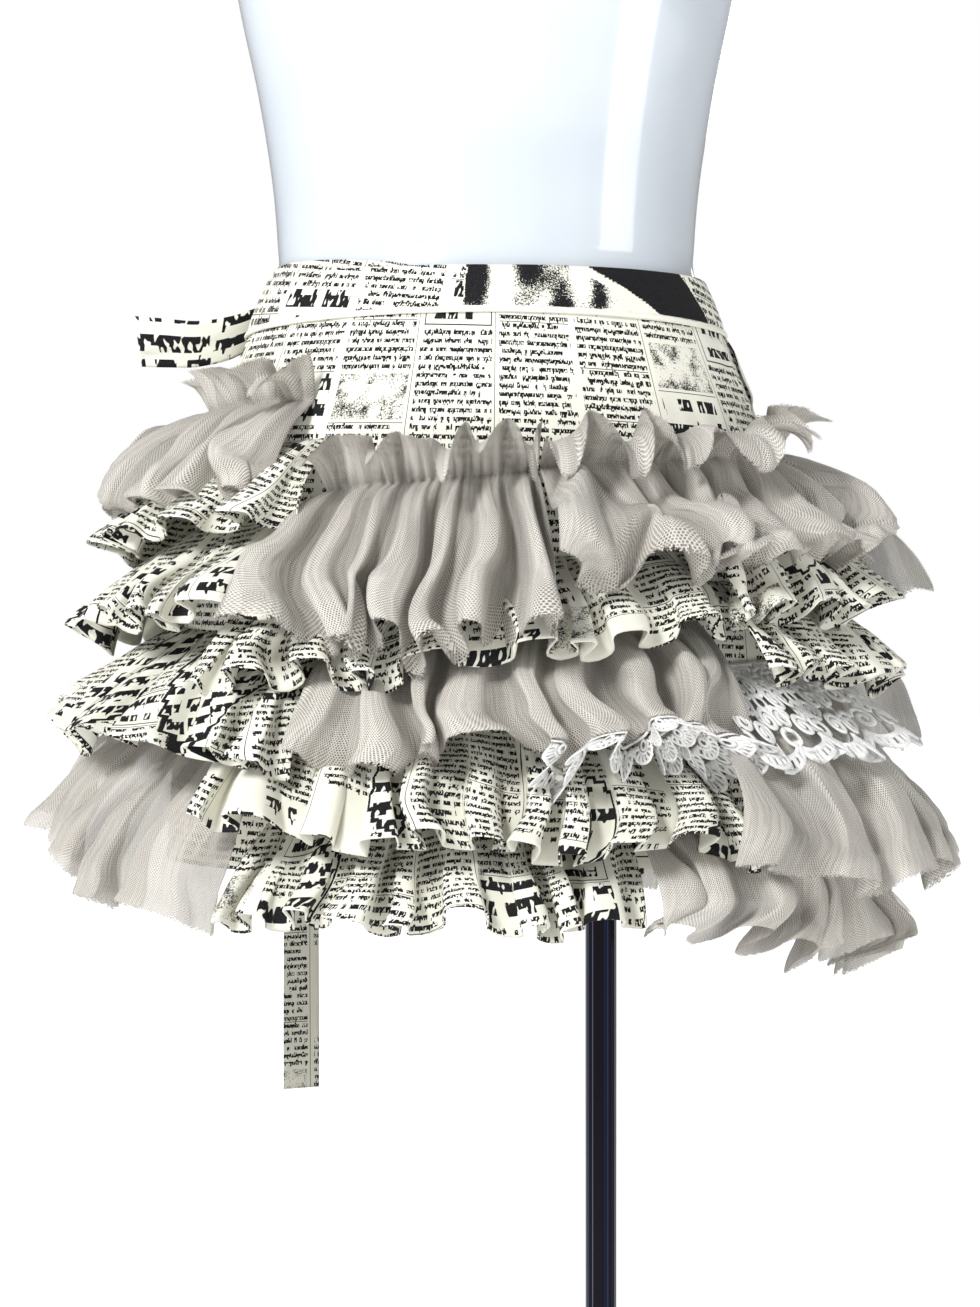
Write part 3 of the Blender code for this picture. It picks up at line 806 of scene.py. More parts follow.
def make_line_marks():
    """Unreadable marks set in lines: short strokes in a band as high as small letters, with word gaps."""
    w, given, made = new_group(
        "line_marks", [("X", 0.0), ("Y", 0.0), ("Pitch", 5.1), ("Stroke", 0.6), ("Seed", 0.0)], ["Mark"]
    )
    line = w.div(given["Y"], given["Pitch"])
    row = w.floor(line)
    height = w.sub(line, row)
    at = w.div(given["X"], given["Stroke"])
    row_seed = w.add(w.mul(row, 7.31), given["Seed"])
    tall = w.noise(w.vector(w.mul(at, 0.42), row_seed, 4.0), 1.0, 0.0)
    top = w.ramp(tall, 0.60, 0.64, 0.74, 0.97)
    foot = w.ramp(tall, 0.33, 0.36, 0.08, 0.27)
    band = w.mul(w.over(height, foot), w.under(height, top))
    slant = w.add(at, w.mul(height, 0.8))
    strokes = w.noise(w.vector(slant, w.add(row_seed, w.mul(height, 2.5)), 1.0), 1.0, 0.0)
    stroke = w.ramp(strokes, 0.37, 0.42)
    cell = w.floor(w.div(at, 2.3))
    gap, _ = w.random(cell, row_seed, 2.0)
    word = w.under(gap, 0.83)
    w.put(made["Mark"], w.mul(w.mul(band, stroke), word))


def make_newsprint():
    """Generic newspaper-like layout: columns of marks, rules, boxes, large marks and grainy pictures."""
    w, given, made = new_group(
        "newsprint",
        [("Vector", None), ("Picture", 0.0), ("Line Pitch", 5.1), ("Column Width", 53.0)],
        ["Ink"],
    )
    x, y, _ = w.parts(given["Vector"])
    x = w.mul(x, MILLIMETRES)
    y = w.mul(y, -MILLIMETRES)
    column = w.floor(w.div(x, given["Column Width"]))
    inside = w.sub(x, w.mul(column, given["Column Width"]))
    gutter = w.sub(given["Column Width"], GUTTER)
    column_random, _ = w.random(column, 3.0)
    y = w.add(y, w.mul(w.floor(w.mul(column_random, 12.0)), given["Line Pitch"]))
    block_height = w.mul(given["Line Pitch"], BLOCK_LINES)
    block = w.floor(w.div(y, block_height))
    below = w.sub(y, w.mul(block, block_height))
    kind, more = w.random(column, block, 5.0)

    small = w.group(
        "line_marks", X=x, Y=y, Pitch=given["Line Pitch"], Stroke=0.80, Seed=w.mul(column, 17.0)
    )[0]
    line = w.floor(w.div(y, given["Line Pitch"]))
    short, short_more = w.random(column, line, 9.0)
    cut = w.add(8.0, w.mul(short_more[0], 40.0))
    ended = w.mul(w.over(short, 0.84), w.over(inside, cut))
    small = w.mul(w.mul(small, w.between(inside, INDENT, gutter)), w.sub(1.0, ended))

    large = w.group(
        "line_marks", X=x, Y=below, Pitch=w.mul(block_height, 0.5), Stroke=2.3, Seed=w.mul(block, 31.0)
    )[0]
    large = w.mul(large, w.between(inside, 3.0, gutter))
    medium = w.group(
        "line_marks", X=x, Y=below, Pitch=w.mul(block_height, 0.25), Stroke=1.15, Seed=w.mul(block, 13.0)
    )[0]
    medium = w.mul(medium, w.between(inside, 9.0, w.sub(gutter, 8.0)))

    centre_x = w.math("ABSOLUTE", w.sub(inside, w.mul(given["Column Width"], 0.5)))
    centre_y = w.math("ABSOLUTE", w.sub(below, w.mul(block_height, 0.5)))

    def within(half_width, half_height):
        return w.mul(w.under(centre_x, half_width), w.under(centre_y, half_height))

    outer = within(*BOX_OUTSIDE)
    border = w.sub(outer, within(*BOX_INSIDE))
    marks_wide, marks_high = BOX_MARKS
    boxed = w.mul(w.mul(large, w.under(centre_x, marks_wide)), w.under(centre_y, marks_high))
    boxed = w.most(border, boxed)

    flat = w.vector(x, y)
    grain = w.noise(flat, 0.95, 3.0, 0.8)
    tone = w.noise(flat, 0.085, 2.0, 0.6)
    dark = w.add(w.mul(tone, 0.35), w.mul(w.sub(given["Picture"], 0.5), 0.62))
    picture = w.ramp(w.add(grain, dark), 0.68, 0.74)
    picture_block = w.mul(w.ramp(w.add(grain, w.mul(tone, 0.7)), 0.84, 0.97), outer)

    headline = w.between(kind, BODY_TO, HEADLINE_TO)
    box = w.between(kind, HEADLINE_TO, BOX_TO)
    photo = w.between(kind, BOX_TO, PHOTO_TO)
    quote = w.over(kind, PHOTO_TO)
    body = w.between(kind, BARE_TO, BODY_TO)
    ink = w.mul(small, body)
    for marks, shown in ((large, headline), (boxed, box), (picture_block, photo), (medium, quote)):
        ink = w.most(ink, w.mul(marks, shown))
    rule_here = w.over(column_random, 0.45)
    rule = w.mul(w.over(w.math("FRACT", w.div(w.sub(x, -0.5), given["Column Width"])), 0.9925), rule_here)
    ink = w.most(ink, rule)
    level = w.mul(w.under(below, 0.45), w.mul(w.over(more[1], 0.72), w.between(inside, INDENT, gutter)))
    ink = w.most(ink, level)
    in_picture = w.over(given["Picture"], 0.02)
    ink = w.add(w.mul(ink, w.sub(1.0, in_picture)), w.mul(picture, in_picture))
    bold = w.group("line_marks", X=x, Y=y, Pitch=14.0, Stroke=2.9, Seed=5.0)[0]
    in_bold = w.over(given["Picture"], BOLD - 0.1)
    ink = w.add(w.mul(ink, w.sub(1.0, in_bold)), w.mul(bold, in_bold))
    ink = w.mul(ink, w.over(given["Picture"], BLANK / 2.0))
    worn = w.ramp(w.noise(flat, 2.6, 1.0), 0.30, 0.42, 0.93, 1.0)
    w.put(made["Ink"], w.mul(ink, worn))


def make_weave():
    """Height of a plain weave from a flat map in metres."""
    w, given, made = new_group("plain_weave", [("Vector", None), ("Pitch", 0.00048)], ["Height"])
    x, y, _ = w.parts(given["Vector"])
    turns = w.div(FULL_TURN / 2.0, given["Pitch"])
    warp = w.math("SINE", w.mul(x, turns))
    weft = w.math("SINE", w.mul(y, turns))
    slub = w.noise(w.vector(w.mul(x, 900.0), w.mul(y, 90.0)), 1.0, 1.0)
    w.put(made["Height"], w.add(w.mul(w.mul(warp, weft), 0.5), w.mul(slub, 0.6)))


def make_net():
    """Knitted net from a flat map in metres: its holes, its yarn's height and its ribs."""
    w, given, made = new_group(
        "knitted_net", [("Vector", None), ("Pitch", 0.00145)], ["Hole", "Height", "Rib"]
    )
    x, y, _ = w.parts(given["Vector"])
    waver = w.noise(given["Vector"], 55.0, 1.0)
    x = w.add(x, w.mul(w.sub(waver, 0.5), 0.004))
    y = w.add(y, w.mul(w.sub(w.noise(given["Vector"], 40.0, 0.0), 0.5), 0.003))
    row = w.div(y, w.mul(given["Pitch"], 0.62))
    row_number = w.floor(row)
    odd = w.math("MODULO", w.math("ABSOLUTE", row_number), 2.0)
    column = w.add(w.div(x, given["Pitch"]), w.mul(odd, 0.5))
    across = w.div(w.sub(w.math("FRACT", column), 0.5), 0.36)
    upright = w.div(w.sub(w.sub(row, row_number), 0.5), 0.46)
    away = w.math("SQRT", w.add(w.mul(across, across), w.mul(upright, upright)))
    hole = w.ramp(away, 0.75, 1.10, 1.0, 0.0)
    bands = w.noise(w.vector(w.mul(x, 420.0), w.mul(y, 22.0)), 1.0, 1.0)
    rib = w.ramp(bands, 0.38, 0.62, -1.0, 1.0)
    hole = w.mul(hole, w.ramp(rib, -1.0, 1.0, 1.0, 0.62))
    w.put(made["Hole"], hole)
    w.put(made["Rib"], rib)
    w.put(made["Height"], w.add(w.mul(hole, -1.0), w.mul(rib, 0.5)))


def make_fray():
    """Share of cloth left near a raw edge, from the distance to it."""
    w, given, made = new_group(
        "raw_edge_fray", [("Vector", None), ("Distance", 1.0), ("Depth", 0.003)], ["Cloth"]
    )
    tufts = w.noise(given["Vector"], 900.0, 2.0, 0.7)
    reach = w.mul(given["Depth"], w.ramp(tufts, 0.30, 0.75))
    w.put(made["Cloth"], w.over(given["Distance"], reach))


def new_material(name):
    """A new material with its Principled shader wired to the output."""
    made = bpy.data.materials.new(name)
    made.use_nodes = True
    wires = Wires(made.node_tree)
    return wires, made.node_tree.nodes["Principled BSDF"].inputs


def colour(value):
    return (*value, 1.0)


def bump(wires, height, strength, distance):
    made = wires.node("ShaderNodeBump")
    wires.put(made.inputs["Height"], height)
    made.inputs["Strength"].default_value = strength
    made.inputs["Distance"].default_value = distance
    return made.outputs["Normal"]


def make_cotton_material():
    w, shader = new_material("printed_cotton" + FINISH)
    flat = w.flat()
    picture = w.attribute("picture")
    ink = w.group(
        "newsprint", Vector=flat, Picture=picture, Line_Pitch=sizes().line_pitch * MILLIMETRES,
        Column_Width=sizes().column_width * MILLIMETRES,
    )[0]
    weave = w.group("plain_weave", Vector=flat, Pitch=sizes().weave_pitch)[0]
    mottle = w.noise(flat, 30.0, 3.0)
    ground = w.mix(w.ramp(mottle, 0.3, 0.7, 0.0, 0.5), colour(colours().cotton), (0.80, 0.79, 0.69, 1.0))
    hollow = w.attribute("hollow")
    # Painted shade: the ground darkens towards a dark brown in the valleys between folds, near the seams and
    # over the back tie
    ground = w.mix(w.mul(hollow, 0.45), ground, (0.30, 0.29, 0.22, 1.0))
    w.put(shader["Base Color"], w.mix(ink, ground, colour(colours().ink)))
    w.put(shader["Roughness"], w.ramp(ink, 0.0, 1.0, 0.78, 0.58))
    w.put(shader["Normal"], bump(w, weave, 0.25, 0.0002))
    w.put(shader["Sheen Weight"], 0.03)
    w.put(shader["Specular IOR Level"], 0.06)


def make_mesh_material():
    w, shader = new_material("knitted_mesh" + FINISH)
    flat = w.flat()
    distance = w.attribute("raw_edge")
    hole, height, rib = w.group("knitted_net", Vector=flat, Pitch=sizes().net_pitch)[:3]
    left = w.group("raw_edge_fray", Vector=flat, Distance=distance, Depth=0.0035)[0]
    mottle = w.noise(flat, 14.0, 3.0)
    tint = w.mix(w.ramp(mottle, 0.35, 0.65), colour(colours().mesh), (0.75, 0.705, 0.65, 1.0))
    ribbed = w.mix(w.ramp(rib, -1.0, 1.0, 0.0, 0.22), tint, (0.84, 0.825, 0.775, 1.0))
    hollow = w.attribute("hollow")
    # Painted shade: the holes darken towards the dark inside that shows through them
    netted = w.mix(w.mul(hole, 0.75), ribbed, colour(colours().mesh_shade))
    # Painted shade: the net darkens towards near black in the valleys between folds and near the seams
    w.put(shader["Base Color"], w.mix(w.mul(hollow, 0.50), netted, (0.13, 0.12, 0.10, 1.0)))
    sheer = w.attribute("picture")
    wall = w.mul(w.ramp(hole, 0.0, 1.0, 0.97, 0.40), w.sub(1.0, sheer))
    w.put(shader["Alpha"], w.mul(left, wall))
    w.put(shader["Roughness"], w.ramp(mottle, 0.2, 0.8, 0.75, 0.92))
    w.put(shader["Normal"], bump(w, height, 0.5, 0.0005))
    w.put(shader["Sheen Weight"], 0.15)
    w.put(shader["Sheen Roughness"], 0.4)
    w.put(shader["Specular IOR Level"], 0.25)


def make_lace_material():
    w, shader = new_material("cotton_lace" + FINISH)
    place = w.place()
    thread = w.noise(place, 1500.0, 2.0)
    white = w.mix(w.ramp(thread, 0.3, 0.7), colour(colours().lace), (0.80, 0.80, 0.79, 1.0))
    w.put(shader["Base Color"], white)
    w.put(shader["Roughness"], w.ramp(thread, 0.3, 0.7, 0.7, 0.9))
    w.put(shader["Normal"], bump(w, thread, 0.6, 0.0005))
    w.put(shader["Sheen Weight"], 0.2)


def make_shell_material():
    w, shader = new_material("form_shell" + FINISH)
    place = w.place()
    ripple = w.noise(place, 9.0, 2.0)
    tinted = w.mix(w.ramp(ripple, 0.3, 0.7), colour(colours().shell), (0.64, 0.69, 0.74, 1.0))
    w.put(shader["Base Color"], tinted)
    w.put(shader["Roughness"], w.ramp(w.noise(place, 60.0, 3.0), 0.2, 0.8, 0.10, 0.20))
    w.put(shader["Normal"], bump(w, ripple, 0.06, 0.004))
    w.put(shader["Coat Weight"], 0.6)
    w.put(shader["Coat Roughness"], 0.04)


def make_tube_material():
    """Near-black polish, with thin upright streaks of painted reflection in blue and brown, set by the angle
    round the pole.
    """
    w, shader = new_material("stand_tube" + FINISH)
    place = w.place()
    x, y, z = w.parts(place)
    round_it = w.math("ARCTAN2", x, w.mul(y, -1.0))
    # Painted reflections: thin upright blue and brown streaks, set by the angle round the pole
    reflection_streak = w.noise(w.vector(w.mul(round_it, 4.0), 0.0, w.mul(z, 0.15)), 1.0, 2.0, 0.7)
    blue_reflection = w.mix(w.ramp(reflection_streak, 0.54, 0.62), colour(colours().tube), (0.020, 0.030, 0.075, 1.0))
    brown_reflection = w.mix(w.ramp(reflection_streak, 0.64, 0.70), blue_reflection, (0.13, 0.10, 0.085, 1.0))
    w.put(shader["Base Color"], brown_reflection)
    w.put(shader["Roughness"], w.ramp(w.noise(place, 300.0, 3.0), 0.2, 0.8, 0.08, 0.20))
    w.put(shader["Metallic"], 1.0)


def make_plate_material():
    w, shader = new_material("stand_plate" + FINISH)
    place = w.place()
    x, y, _ = w.parts(place)
    away = w.math("SQRT", w.add(w.mul(x, x), w.mul(y, y)))
    brushed = w.noise(w.vector(w.mul(away, 900.0), 0.0, 0.0), 1.0, 2.0)
    dark = w.mix(w.noise(place, 40.0, 4.0), colour(colours().plate), (0.07, 0.07, 0.075, 1.0))
    w.put(shader["Base Color"], dark)
    w.put(shader["Roughness"], w.ramp(brushed, 0.2, 0.8, 0.25, 0.42))
    w.put(shader["Normal"], bump(w, brushed, 0.08, 0.0005))
    w.put(shader["Metallic"], 0.7)


def raw_ends(v, length):
    """Distance to the top or bottom edge of a strip of mesh."""
    return min(v, length - v)


def make_ruffle(ruffle):
    columns = ruffle.folds * sizes().fold_steps
    rows = sizes().rows
    top = -1.0 if ruffle.header else 0.0
    if ruffle.header:
        rows += HEADER_ROWS

    def place(across, up):
        return ruffle_point(ruffle, across, lerp(1.0, top, up))

    # Painted shade: darker in the valleys between folds, and near the seam under the tier above
    def hollow(across, up):
        turn = fold_turn(ruffle, across)
        down = abs(lerp(1.0, top, up))
        low = smooth_step(0.1, -0.9, math.cos(turn)) * smooth_step(0.0, 0.15, down)
        return low * (1.0 - 0.55 * down) + 0.75 * math.exp(-9.0 * down)

    def large_marks(across, up):
        place = noise.noise((across * ruffle.folds * 0.7, up * 0.5, 20.0 * name_phase(ruffle.name)))
        return BOLD if place > ruffle.bold_from else 0.0

    def sheer(across, up):
        return SHEER

    is_mesh = ruffle.look.slot == MESH.slot
    flat_mesh = sheer if ruffle.look in (FLAT_MESH, BACK_MESH) else None
    name = ruffle.name + CLOTH_NAME
    obj, flat = cloth_sheet(
        name, grid_points(columns, rows, place), ruffle.look.thick,
        print_turn=ruffle.print_turn, raw_edge=raw_ends if is_mesh else None, hollow=hollow,
        picture=flat_mesh if is_mesh else large_marks,
    )
    dress(obj, ruffle.name, ruffle.look.slot, flat)


def make_bands():
    def band(node, start, end, top, bottom, out, picture=None):
        def place(across, up):
            angle = lerp(start, end, across)
            drop = lerp(bottom(angle), top(angle, across), up)
            crown = BAND_CROWN * math.sin(math.pi * up)
            piping = PIPING_RISE * math.sin(math.pi * min(1.0, up / PIPING))
            piping -= PIPING_GROOVE * math.exp(-(((up - PIPING) / 0.04) ** 2))
            ripple = BAND_RIPPLE * noise.noise((angle / 14.0, up * 0.8, 2.0))
            return on_skirt(angle, drop, out + crown + piping + ripple)

        points = grid_points(*BAND_GRID, place)
        obj, flat = cloth_sheet(node + CLOTH_NAME, points, BAND_WALL, print_turn=186.0, picture=picture)
        dress(obj, node, "printed_cotton", flat)

    def plain_edge(across, up):
        return BLANK if up < PIPING else 0.0

    def on_picture(across, up):
        """How dark the printed picture is: none at the left, grainy patches, then a slanted dark area."""
        if up < PIPING:
            return BLANK
        angle = lerp(FRONT_START, FRONT_END, across)
        start = -5.0 + 1.5 * noise.noise((up * 3.0, 1.0, 2.0))
        if angle < start or angle > 58.0 + 9.0 * (1.0 - up):
            return 0.0
        solid = smooth_step(0.0, 1.2, angle - 38.0 + 22.0 * (up - 0.45))
        gap = smooth_step(0.0, 1.5, abs(angle - 35.0 + 22.0 * (up - 0.45)) - 1.0)
        patches = 0.5 + 1.1 * noise.noise((angle / 7.0, up * 0.9, 7.0))
        return max(0.05, lerp(patches, 1.4, solid) * gap + 0.05)

    def plain_top(angle, across):
        return band_top(angle)

    def under_top(angle, across):
        rise = UNDER_BAND_RISE * max(0.0, math.sin(math.pi * min(1.0, 0.12 + across))) ** 0.6
        return band_top(angle) - rise

    band("band_front", FRONT_START, FRONT_END, plain_top, band_bottom, LAYER, on_picture)
    band("band_back", BACK_START, BACK_END, plain_top, band_bottom, LAYER, plain_edge)
    band(
        "band_under", FRONT_START + 1.0, UNDER_END, under_top,
        lambda angle: UNDER_TOP - SEAM_GAP, -LAYER,
    )


def make_panels():
    def panel(node, start, end, top, bottom, out, columns, rows, relief=1.0):
        def place(across, up):
            angle = lerp(start, end, across)
            drop = lerp(top, bottom, (1.0 - up) ** 1.6)
            pull = noise.noise((angle / 9.0, drop / 0.05, 4.0))
            pucker = smooth_step(0.05, 0.12, drop) * math.sin(math.radians(angle) * 60.0)
            seam = angle - lerp(66.0, 75.0, drop / 0.09)
            shirred = math.exp(-(seam / SHIRRING_SPREAD) ** 2) * smooth_step(0.030, 0.045, drop)
            uneven = noise.noise((angle / 6.0, drop / 0.02, 9.0))
            gathers = math.sin(FULL_TURN * drop / SHIRRING_PITCH + 3.0 * uneven)
            ridge = SEAM_RIDGE * math.exp(-(seam / SEAM_RIDGE_SPREAD) ** 2)
            shirring = SHIRRING_DEPTH * gathers * shirred + ridge
            out_here = out + relief * WRINKLE * (pull + 0.5 * pucker) + relief * shirring
            return on_skirt(angle, drop, out_here)

        obj, flat = cloth_sheet(node + CLOTH_NAME, grid_points(columns, rows, place), CLOTH, print_turn=1.5)
        dress(obj, node, "printed_cotton", flat)

    panel("front_panel", FRONT_START, FRONT_END, PANEL_TOP, SKIRT_HEM, 0.0, 220, 80)
    panel(
        "under_panel", FRONT_START + 1.0, UNDER_END, UNDER_TOP, SKIRT_HEM - 0.006,
        -LAYER, 90, 30, relief=0.0,
    )
    panel("back_panel", BACK_START, BACK_END, BACK_YOKE_DROP + SEAM_GAP, SKIRT_HEM, 0.0, 170, 40)


def make_yoke():
    gathers = YOKE_GATHERS * YOKE_FINE_GATHERS

    def place(across, up):
        angle = lerp(BACK_START, BACK_END, across)
        drop = lerp(BACK_YOKE_DROP, YOKE_TOP, up)
        below = smooth_step(0.030, 0.046, drop)
        held = smooth_step(BACK_YOKE_DROP, 0.070, drop)
        uneven = noise.noise((across * gathers * 0.9, drop / 0.03, 6.0))
        fine = math.sin(FULL_TURN * across * gathers + 2.5 * uneven)
        broad = math.cos(FULL_TURN * across * YOKE_GATHERS)
        out = YOKE_DEPTH * (1.0 + 0.45 * broad + 0.75 * fine + 0.4 * uneven) * below * held
        return on_skirt(angle, drop, out)

    obj, flat = cloth_sheet("back_yoke_cloth", grid_points(gathers * 8, 20, place), YOKE_WALL, print_turn=1.5)
    dress(obj, "back_yoke", "printed_cotton", flat)


def along_curve(points, share):
    """A point at a share of a smooth line through points, by Catmull and Rom's spline."""
    spans = len(points) - 1
    at = min(max(share, 0.0), 1.0) * spans
    first = min(int(at), spans - 1)
    t = at - first
    before = points[max(first - 1, 0)]
    here, there = points[first], points[first + 1]
    after = points[min(first + 2, spans)]
    return (
        here * 2.0 + (there - before) * t + (before * 2.0 - here * 5.0 + there * 4.0 - after) * t * t
        + (here * 3.0 - before - there * 3.0 + after) * t * t * t
    ) * 0.5


def make_ties():
    middle = [on_skirt(s.angle, s.drop, s.out) for s in SIDE_TIE]
    across_way = []
    for section in SIDE_TIE:
        lean = outward(section.angle, section.drop) * math.sin(section.tilt)
        across_way.append((Vector((0.0, 0.0, math.cos(section.tilt))) + lean).normalized())
    halves = [Vector((s.half_width, 0.0, 0.0)) for s in SIDE_TIE]

    def on_side_tie(across, up):
        point = along_curve(middle, across)
        way = along_curve(across_way, across)
        half = along_curve(halves, across).x
        side = up * 2.0 - 1.0
        free = smooth_step(0.35, 1.0, across)
        fold = 0.0034 * smooth_step(0.0, 0.16, side - (0.9 - 1.5 * across))
        crease = free * (fold - 0.0012 * noise.noise((across * 4.0, up * 2.0, 3.0)))
        bend = Vector((0.0, -crease, 0.0))
        return point + way * half * side + bend

    def bold(across, up):
        return BOLD

    obj, flat = cloth_sheet("side_tie_cloth", grid_points(70, 14, on_side_tie), TIE_WALL, picture=bold)
    dress(obj, "side_tie", "printed_cotton", flat)

    line = [on_skirt(BACK_TIE_ANGLE, drop, out) for out, drop in BACK_TIE]
    tail_out, tail_start = BACK_TIE[-1]
    for share in (0.33, 0.66, 1.0):
        point = on_skirt(BACK_TIE_ANGLE, SKIRT_HEM, tail_out)
        point.z = WAIST_HEIGHT - lerp(tail_start, BACK_TIE_END, share)
        line.append(point)
    turn = outward(BACK_TIE_ANGLE, SKIRT_HEM)
    tangent = Vector((-turn.y, turn.x, 0.0))

    def on_back_tie(across, up):
        point = along_curve(line, across)
        side = up * 2.0 - 1.0
        ripple = 0.0012 * noise.noise((across * 9.0, up * 1.2, 8.0))
        return point + tangent * BACK_TIE_HALF_WIDTH * side + turn * (ripple - 0.0008 * side * side)

    # Painted shade over the whole back tie, with the print's duller wrong side
    def wrong_side_and_shade(across, up):
        return WRONG_SIDE_AND_SHADE

    obj, flat = cloth_sheet(
        "back_tie_cloth", grid_points(120, 10, on_back_tie), TIE_WALL, print_turn=90.0, hollow=wrong_side_and_shade
    )
    dress(obj, "back_tie", "printed_cotton", flat)


def arc(centre_x, centre_y, radius_x, radius_y, start, end, steps, shrink=1.0):
    """Points of an arc or, where the radius shrinks on the way, of a spiral. Degrees, 0 at the right."""
    points = []
    for step in range(steps + 1):
        share = step / steps
        turn = math.radians(lerp(start, end, share))
        size = lerp(1.0, shrink, share)
        x = centre_x + radius_x * size * math.cos(turn)
        points.append(Vector((x, centre_y + radius_y * size * math.sin(turn), 0.0)))
    return points


def frill_motif():
    """Corded lines of one repeat of the lace frill, in millimetres across and down from its seam."""
    cords = [
        arc(6.0, 12.0, 6.4, 6.8, 230, 860, 40, 0.14),
        arc(15.0, 19.5, 6.0, 6.6, 350, -260, 38, 0.14),
        arc(5.2, 27.5, 5.6, 6.2, 150, 770, 38, 0.14),
        arc(15.0, 33.5, 5.2, 5.6, 340, -230, 34, 0.16),
        arc(15.5, 8.5, 4.0, 4.2, 0, 360, 16),
        arc(15.5, 8.5, 1.7, 1.9, 0, 360, 10),
        arc(0.0, 19.5, 3.6, 3.4, -90, 90, 10),
        arc(0.0, 36.0, 3.8, 3.6, -90, 90, 10),
        arc(10.3, 25.8, 1.6, 2.4, 0, 360, 10),
        arc(9.8, 38.0, 10.0, 6.5, 180, 0, 20),
        arc(9.8, 38.0, 10.2, 12.2, 180, 0, 24),
        [Vector((x, 1.0, 0.0)) for x in (0.0, 7.0, 14.0, 20.0)],
        [Vector((x, 4.2, 0.0)) for x in (0.0, 7.0, 14.0, 20.0)],
    ]
    for step in range(9):
        turn = math.radians(lerp(10.0, 170.0, step / 8.0))
        inner = Vector((9.8 + 10.0 * math.cos(turn), 38.0 + 6.5 * math.sin(turn), 0.0))
        outer = Vector((9.8 + 10.4 * math.cos(turn), 38.0 + 13.4 * math.sin(turn), 0.0))
        cords.append([inner, outer])
    for x in (2.0, 6.0, 10.0, 14.0, 18.0):
        cords.append([Vector((x, 1.0, 0.0)), Vector((x + 1.0, 4.2, 0.0))])
    return cords


def edging_motif():
    """Corded lines of one repeat of the narrow lace edging."""
    cords = [
        [Vector((x, 0.6, 0.0)) for x in (0.0, 5.5, 11.0, 16.0)],
        arc(8.0, 3.0, 7.6, 9.4, 180, 0, 18),
        arc(8.0, 3.0, 4.4, 5.2, 180, 0, 14),
        arc(8.0, 4.2, 2.0, 2.2, 0, 360, 12),
        arc(0.0, 3.0, 2.2, 3.2, 0, 180, 8),
    ]
    for step in range(8):
        turn = math.radians(lerp(14.0, 166.0, step / 7.0))
        inner = Vector((8.0 + 4.4 * math.cos(turn), 3.0 + 5.2 * math.sin(turn), 0.0))
        outer = Vector((8.0 + 8.0 * math.cos(turn), 3.0 + 10.0 * math.sin(turn), 0.0))
        cords.append([inner, outer])
    return cords


def lace_strip(
    name, node, motif, repeat, ruffle, start, end, top, bottom, depth, out, cord_share=1.0
):
    """A strip of corded lace: the motif repeated in the flat and laid on a gathered strip's folds.

    start and end are shares along that strip, top and bottom shares down it, and depth the lace's
    flat depth. cord_share scales the width of the cord.
    """
    steps = 240
    level = lerp(top, bottom, 0.6)
    middle = [ruffle_point(ruffle, lerp(start, end, step / steps), level) for step in range(steps + 1)]
    length = running_length(middle)
    repeats = max(1, round(length[-1] / (repeat * 0.001)))
    scale = length[-1] / (repeats * repeat)

    def share_at(distance):
        for step in range(steps):
            if length[step + 1] >= distance:
                span = max(length[step + 1] - length[step], 1e-9)
                return (step + (distance - length[step]) / span) / steps
        return 1.0

    half = sizes().lace_cord * cord_share / 2.0
    bm = bmesh.new()
    uv = bm.loops.layers.uv.new("flat")
    on_flat = {}
    for number in range(repeats):
        mirrored = number % 2 == 1
        for order, cord in enumerate(motif()):
            spans = max(len(cord) - 1, 2)
            made = bmesh.ops.create_grid(bm, x_segments=spans, y_segments=2, size=1.0)
            for vert in made["verts"]:
                share = (vert.co.x + 1.0) / 2.0
                side = round(vert.co.y)
                point = along_curve(cord, share)
                ahead = along_curve(cord, min(share + 0.03, 1.0)) - along_curve(cord, max(share - 0.03, 0.0))
                normal = Vector((-ahead.y, ahead.x, 0.0)).normalized()
                flat = point * 0.001 + normal * half * side
                x = repeat * 0.001 - flat.x if mirrored else flat.x
                distance = (number * repeat + x * 1000.0) * scale
                on_flat[vert] = (distance, flat.y)
                along = lerp(start, end, share_at(min(max(distance, 0.0), length[-1])))
                down = lerp(top, bottom, min(max(flat.y / depth, 0.0), 1.0))
                place = ruffle_point(ruffle, along, down)
                angle = math.degrees(math.atan2(place.x - FORM_X, -place.y))
                lift = out + (0.0006 if side == 0 else 0.0) + 0.00025 * (order % 4)
                vert.co = place + outward(angle, WAIST_HEIGHT - place.z) * lift
    obj = new_wall(name, bm, uv, on_flat, LACE.thick)
    cord_area = sum(face.area for face in obj.data.polygons)
    width = max(length[-1], cord_area * (1.0 + 0.5 * LACE.thick / half) / depth)
    dress(obj, node, LACE.slot, (width, depth))


def make_lace():
    lace_strip(
        "lace_right_cloth", "lace_right", frill_motif, FRILL_REPEAT, LACE_FRILL,
        0.0, 1.0, 0.0, 1.0, FRILL_DEPTH, 0.0,
    )
    carrier = next(ruffle for ruffle in RUFFLES if ruffle.name == EDGING_CARRIER)
    lace_strip(
        "lace_edging_cloth", "lace_edging", edging_motif, EDGING_REPEAT, carrier,
        EDGING_START, EDGING_END, EDGING_TOP, EDGING_BOTTOM, EDGING_DEPTH, EDGING_OUT, EDGING_CORD,
    )


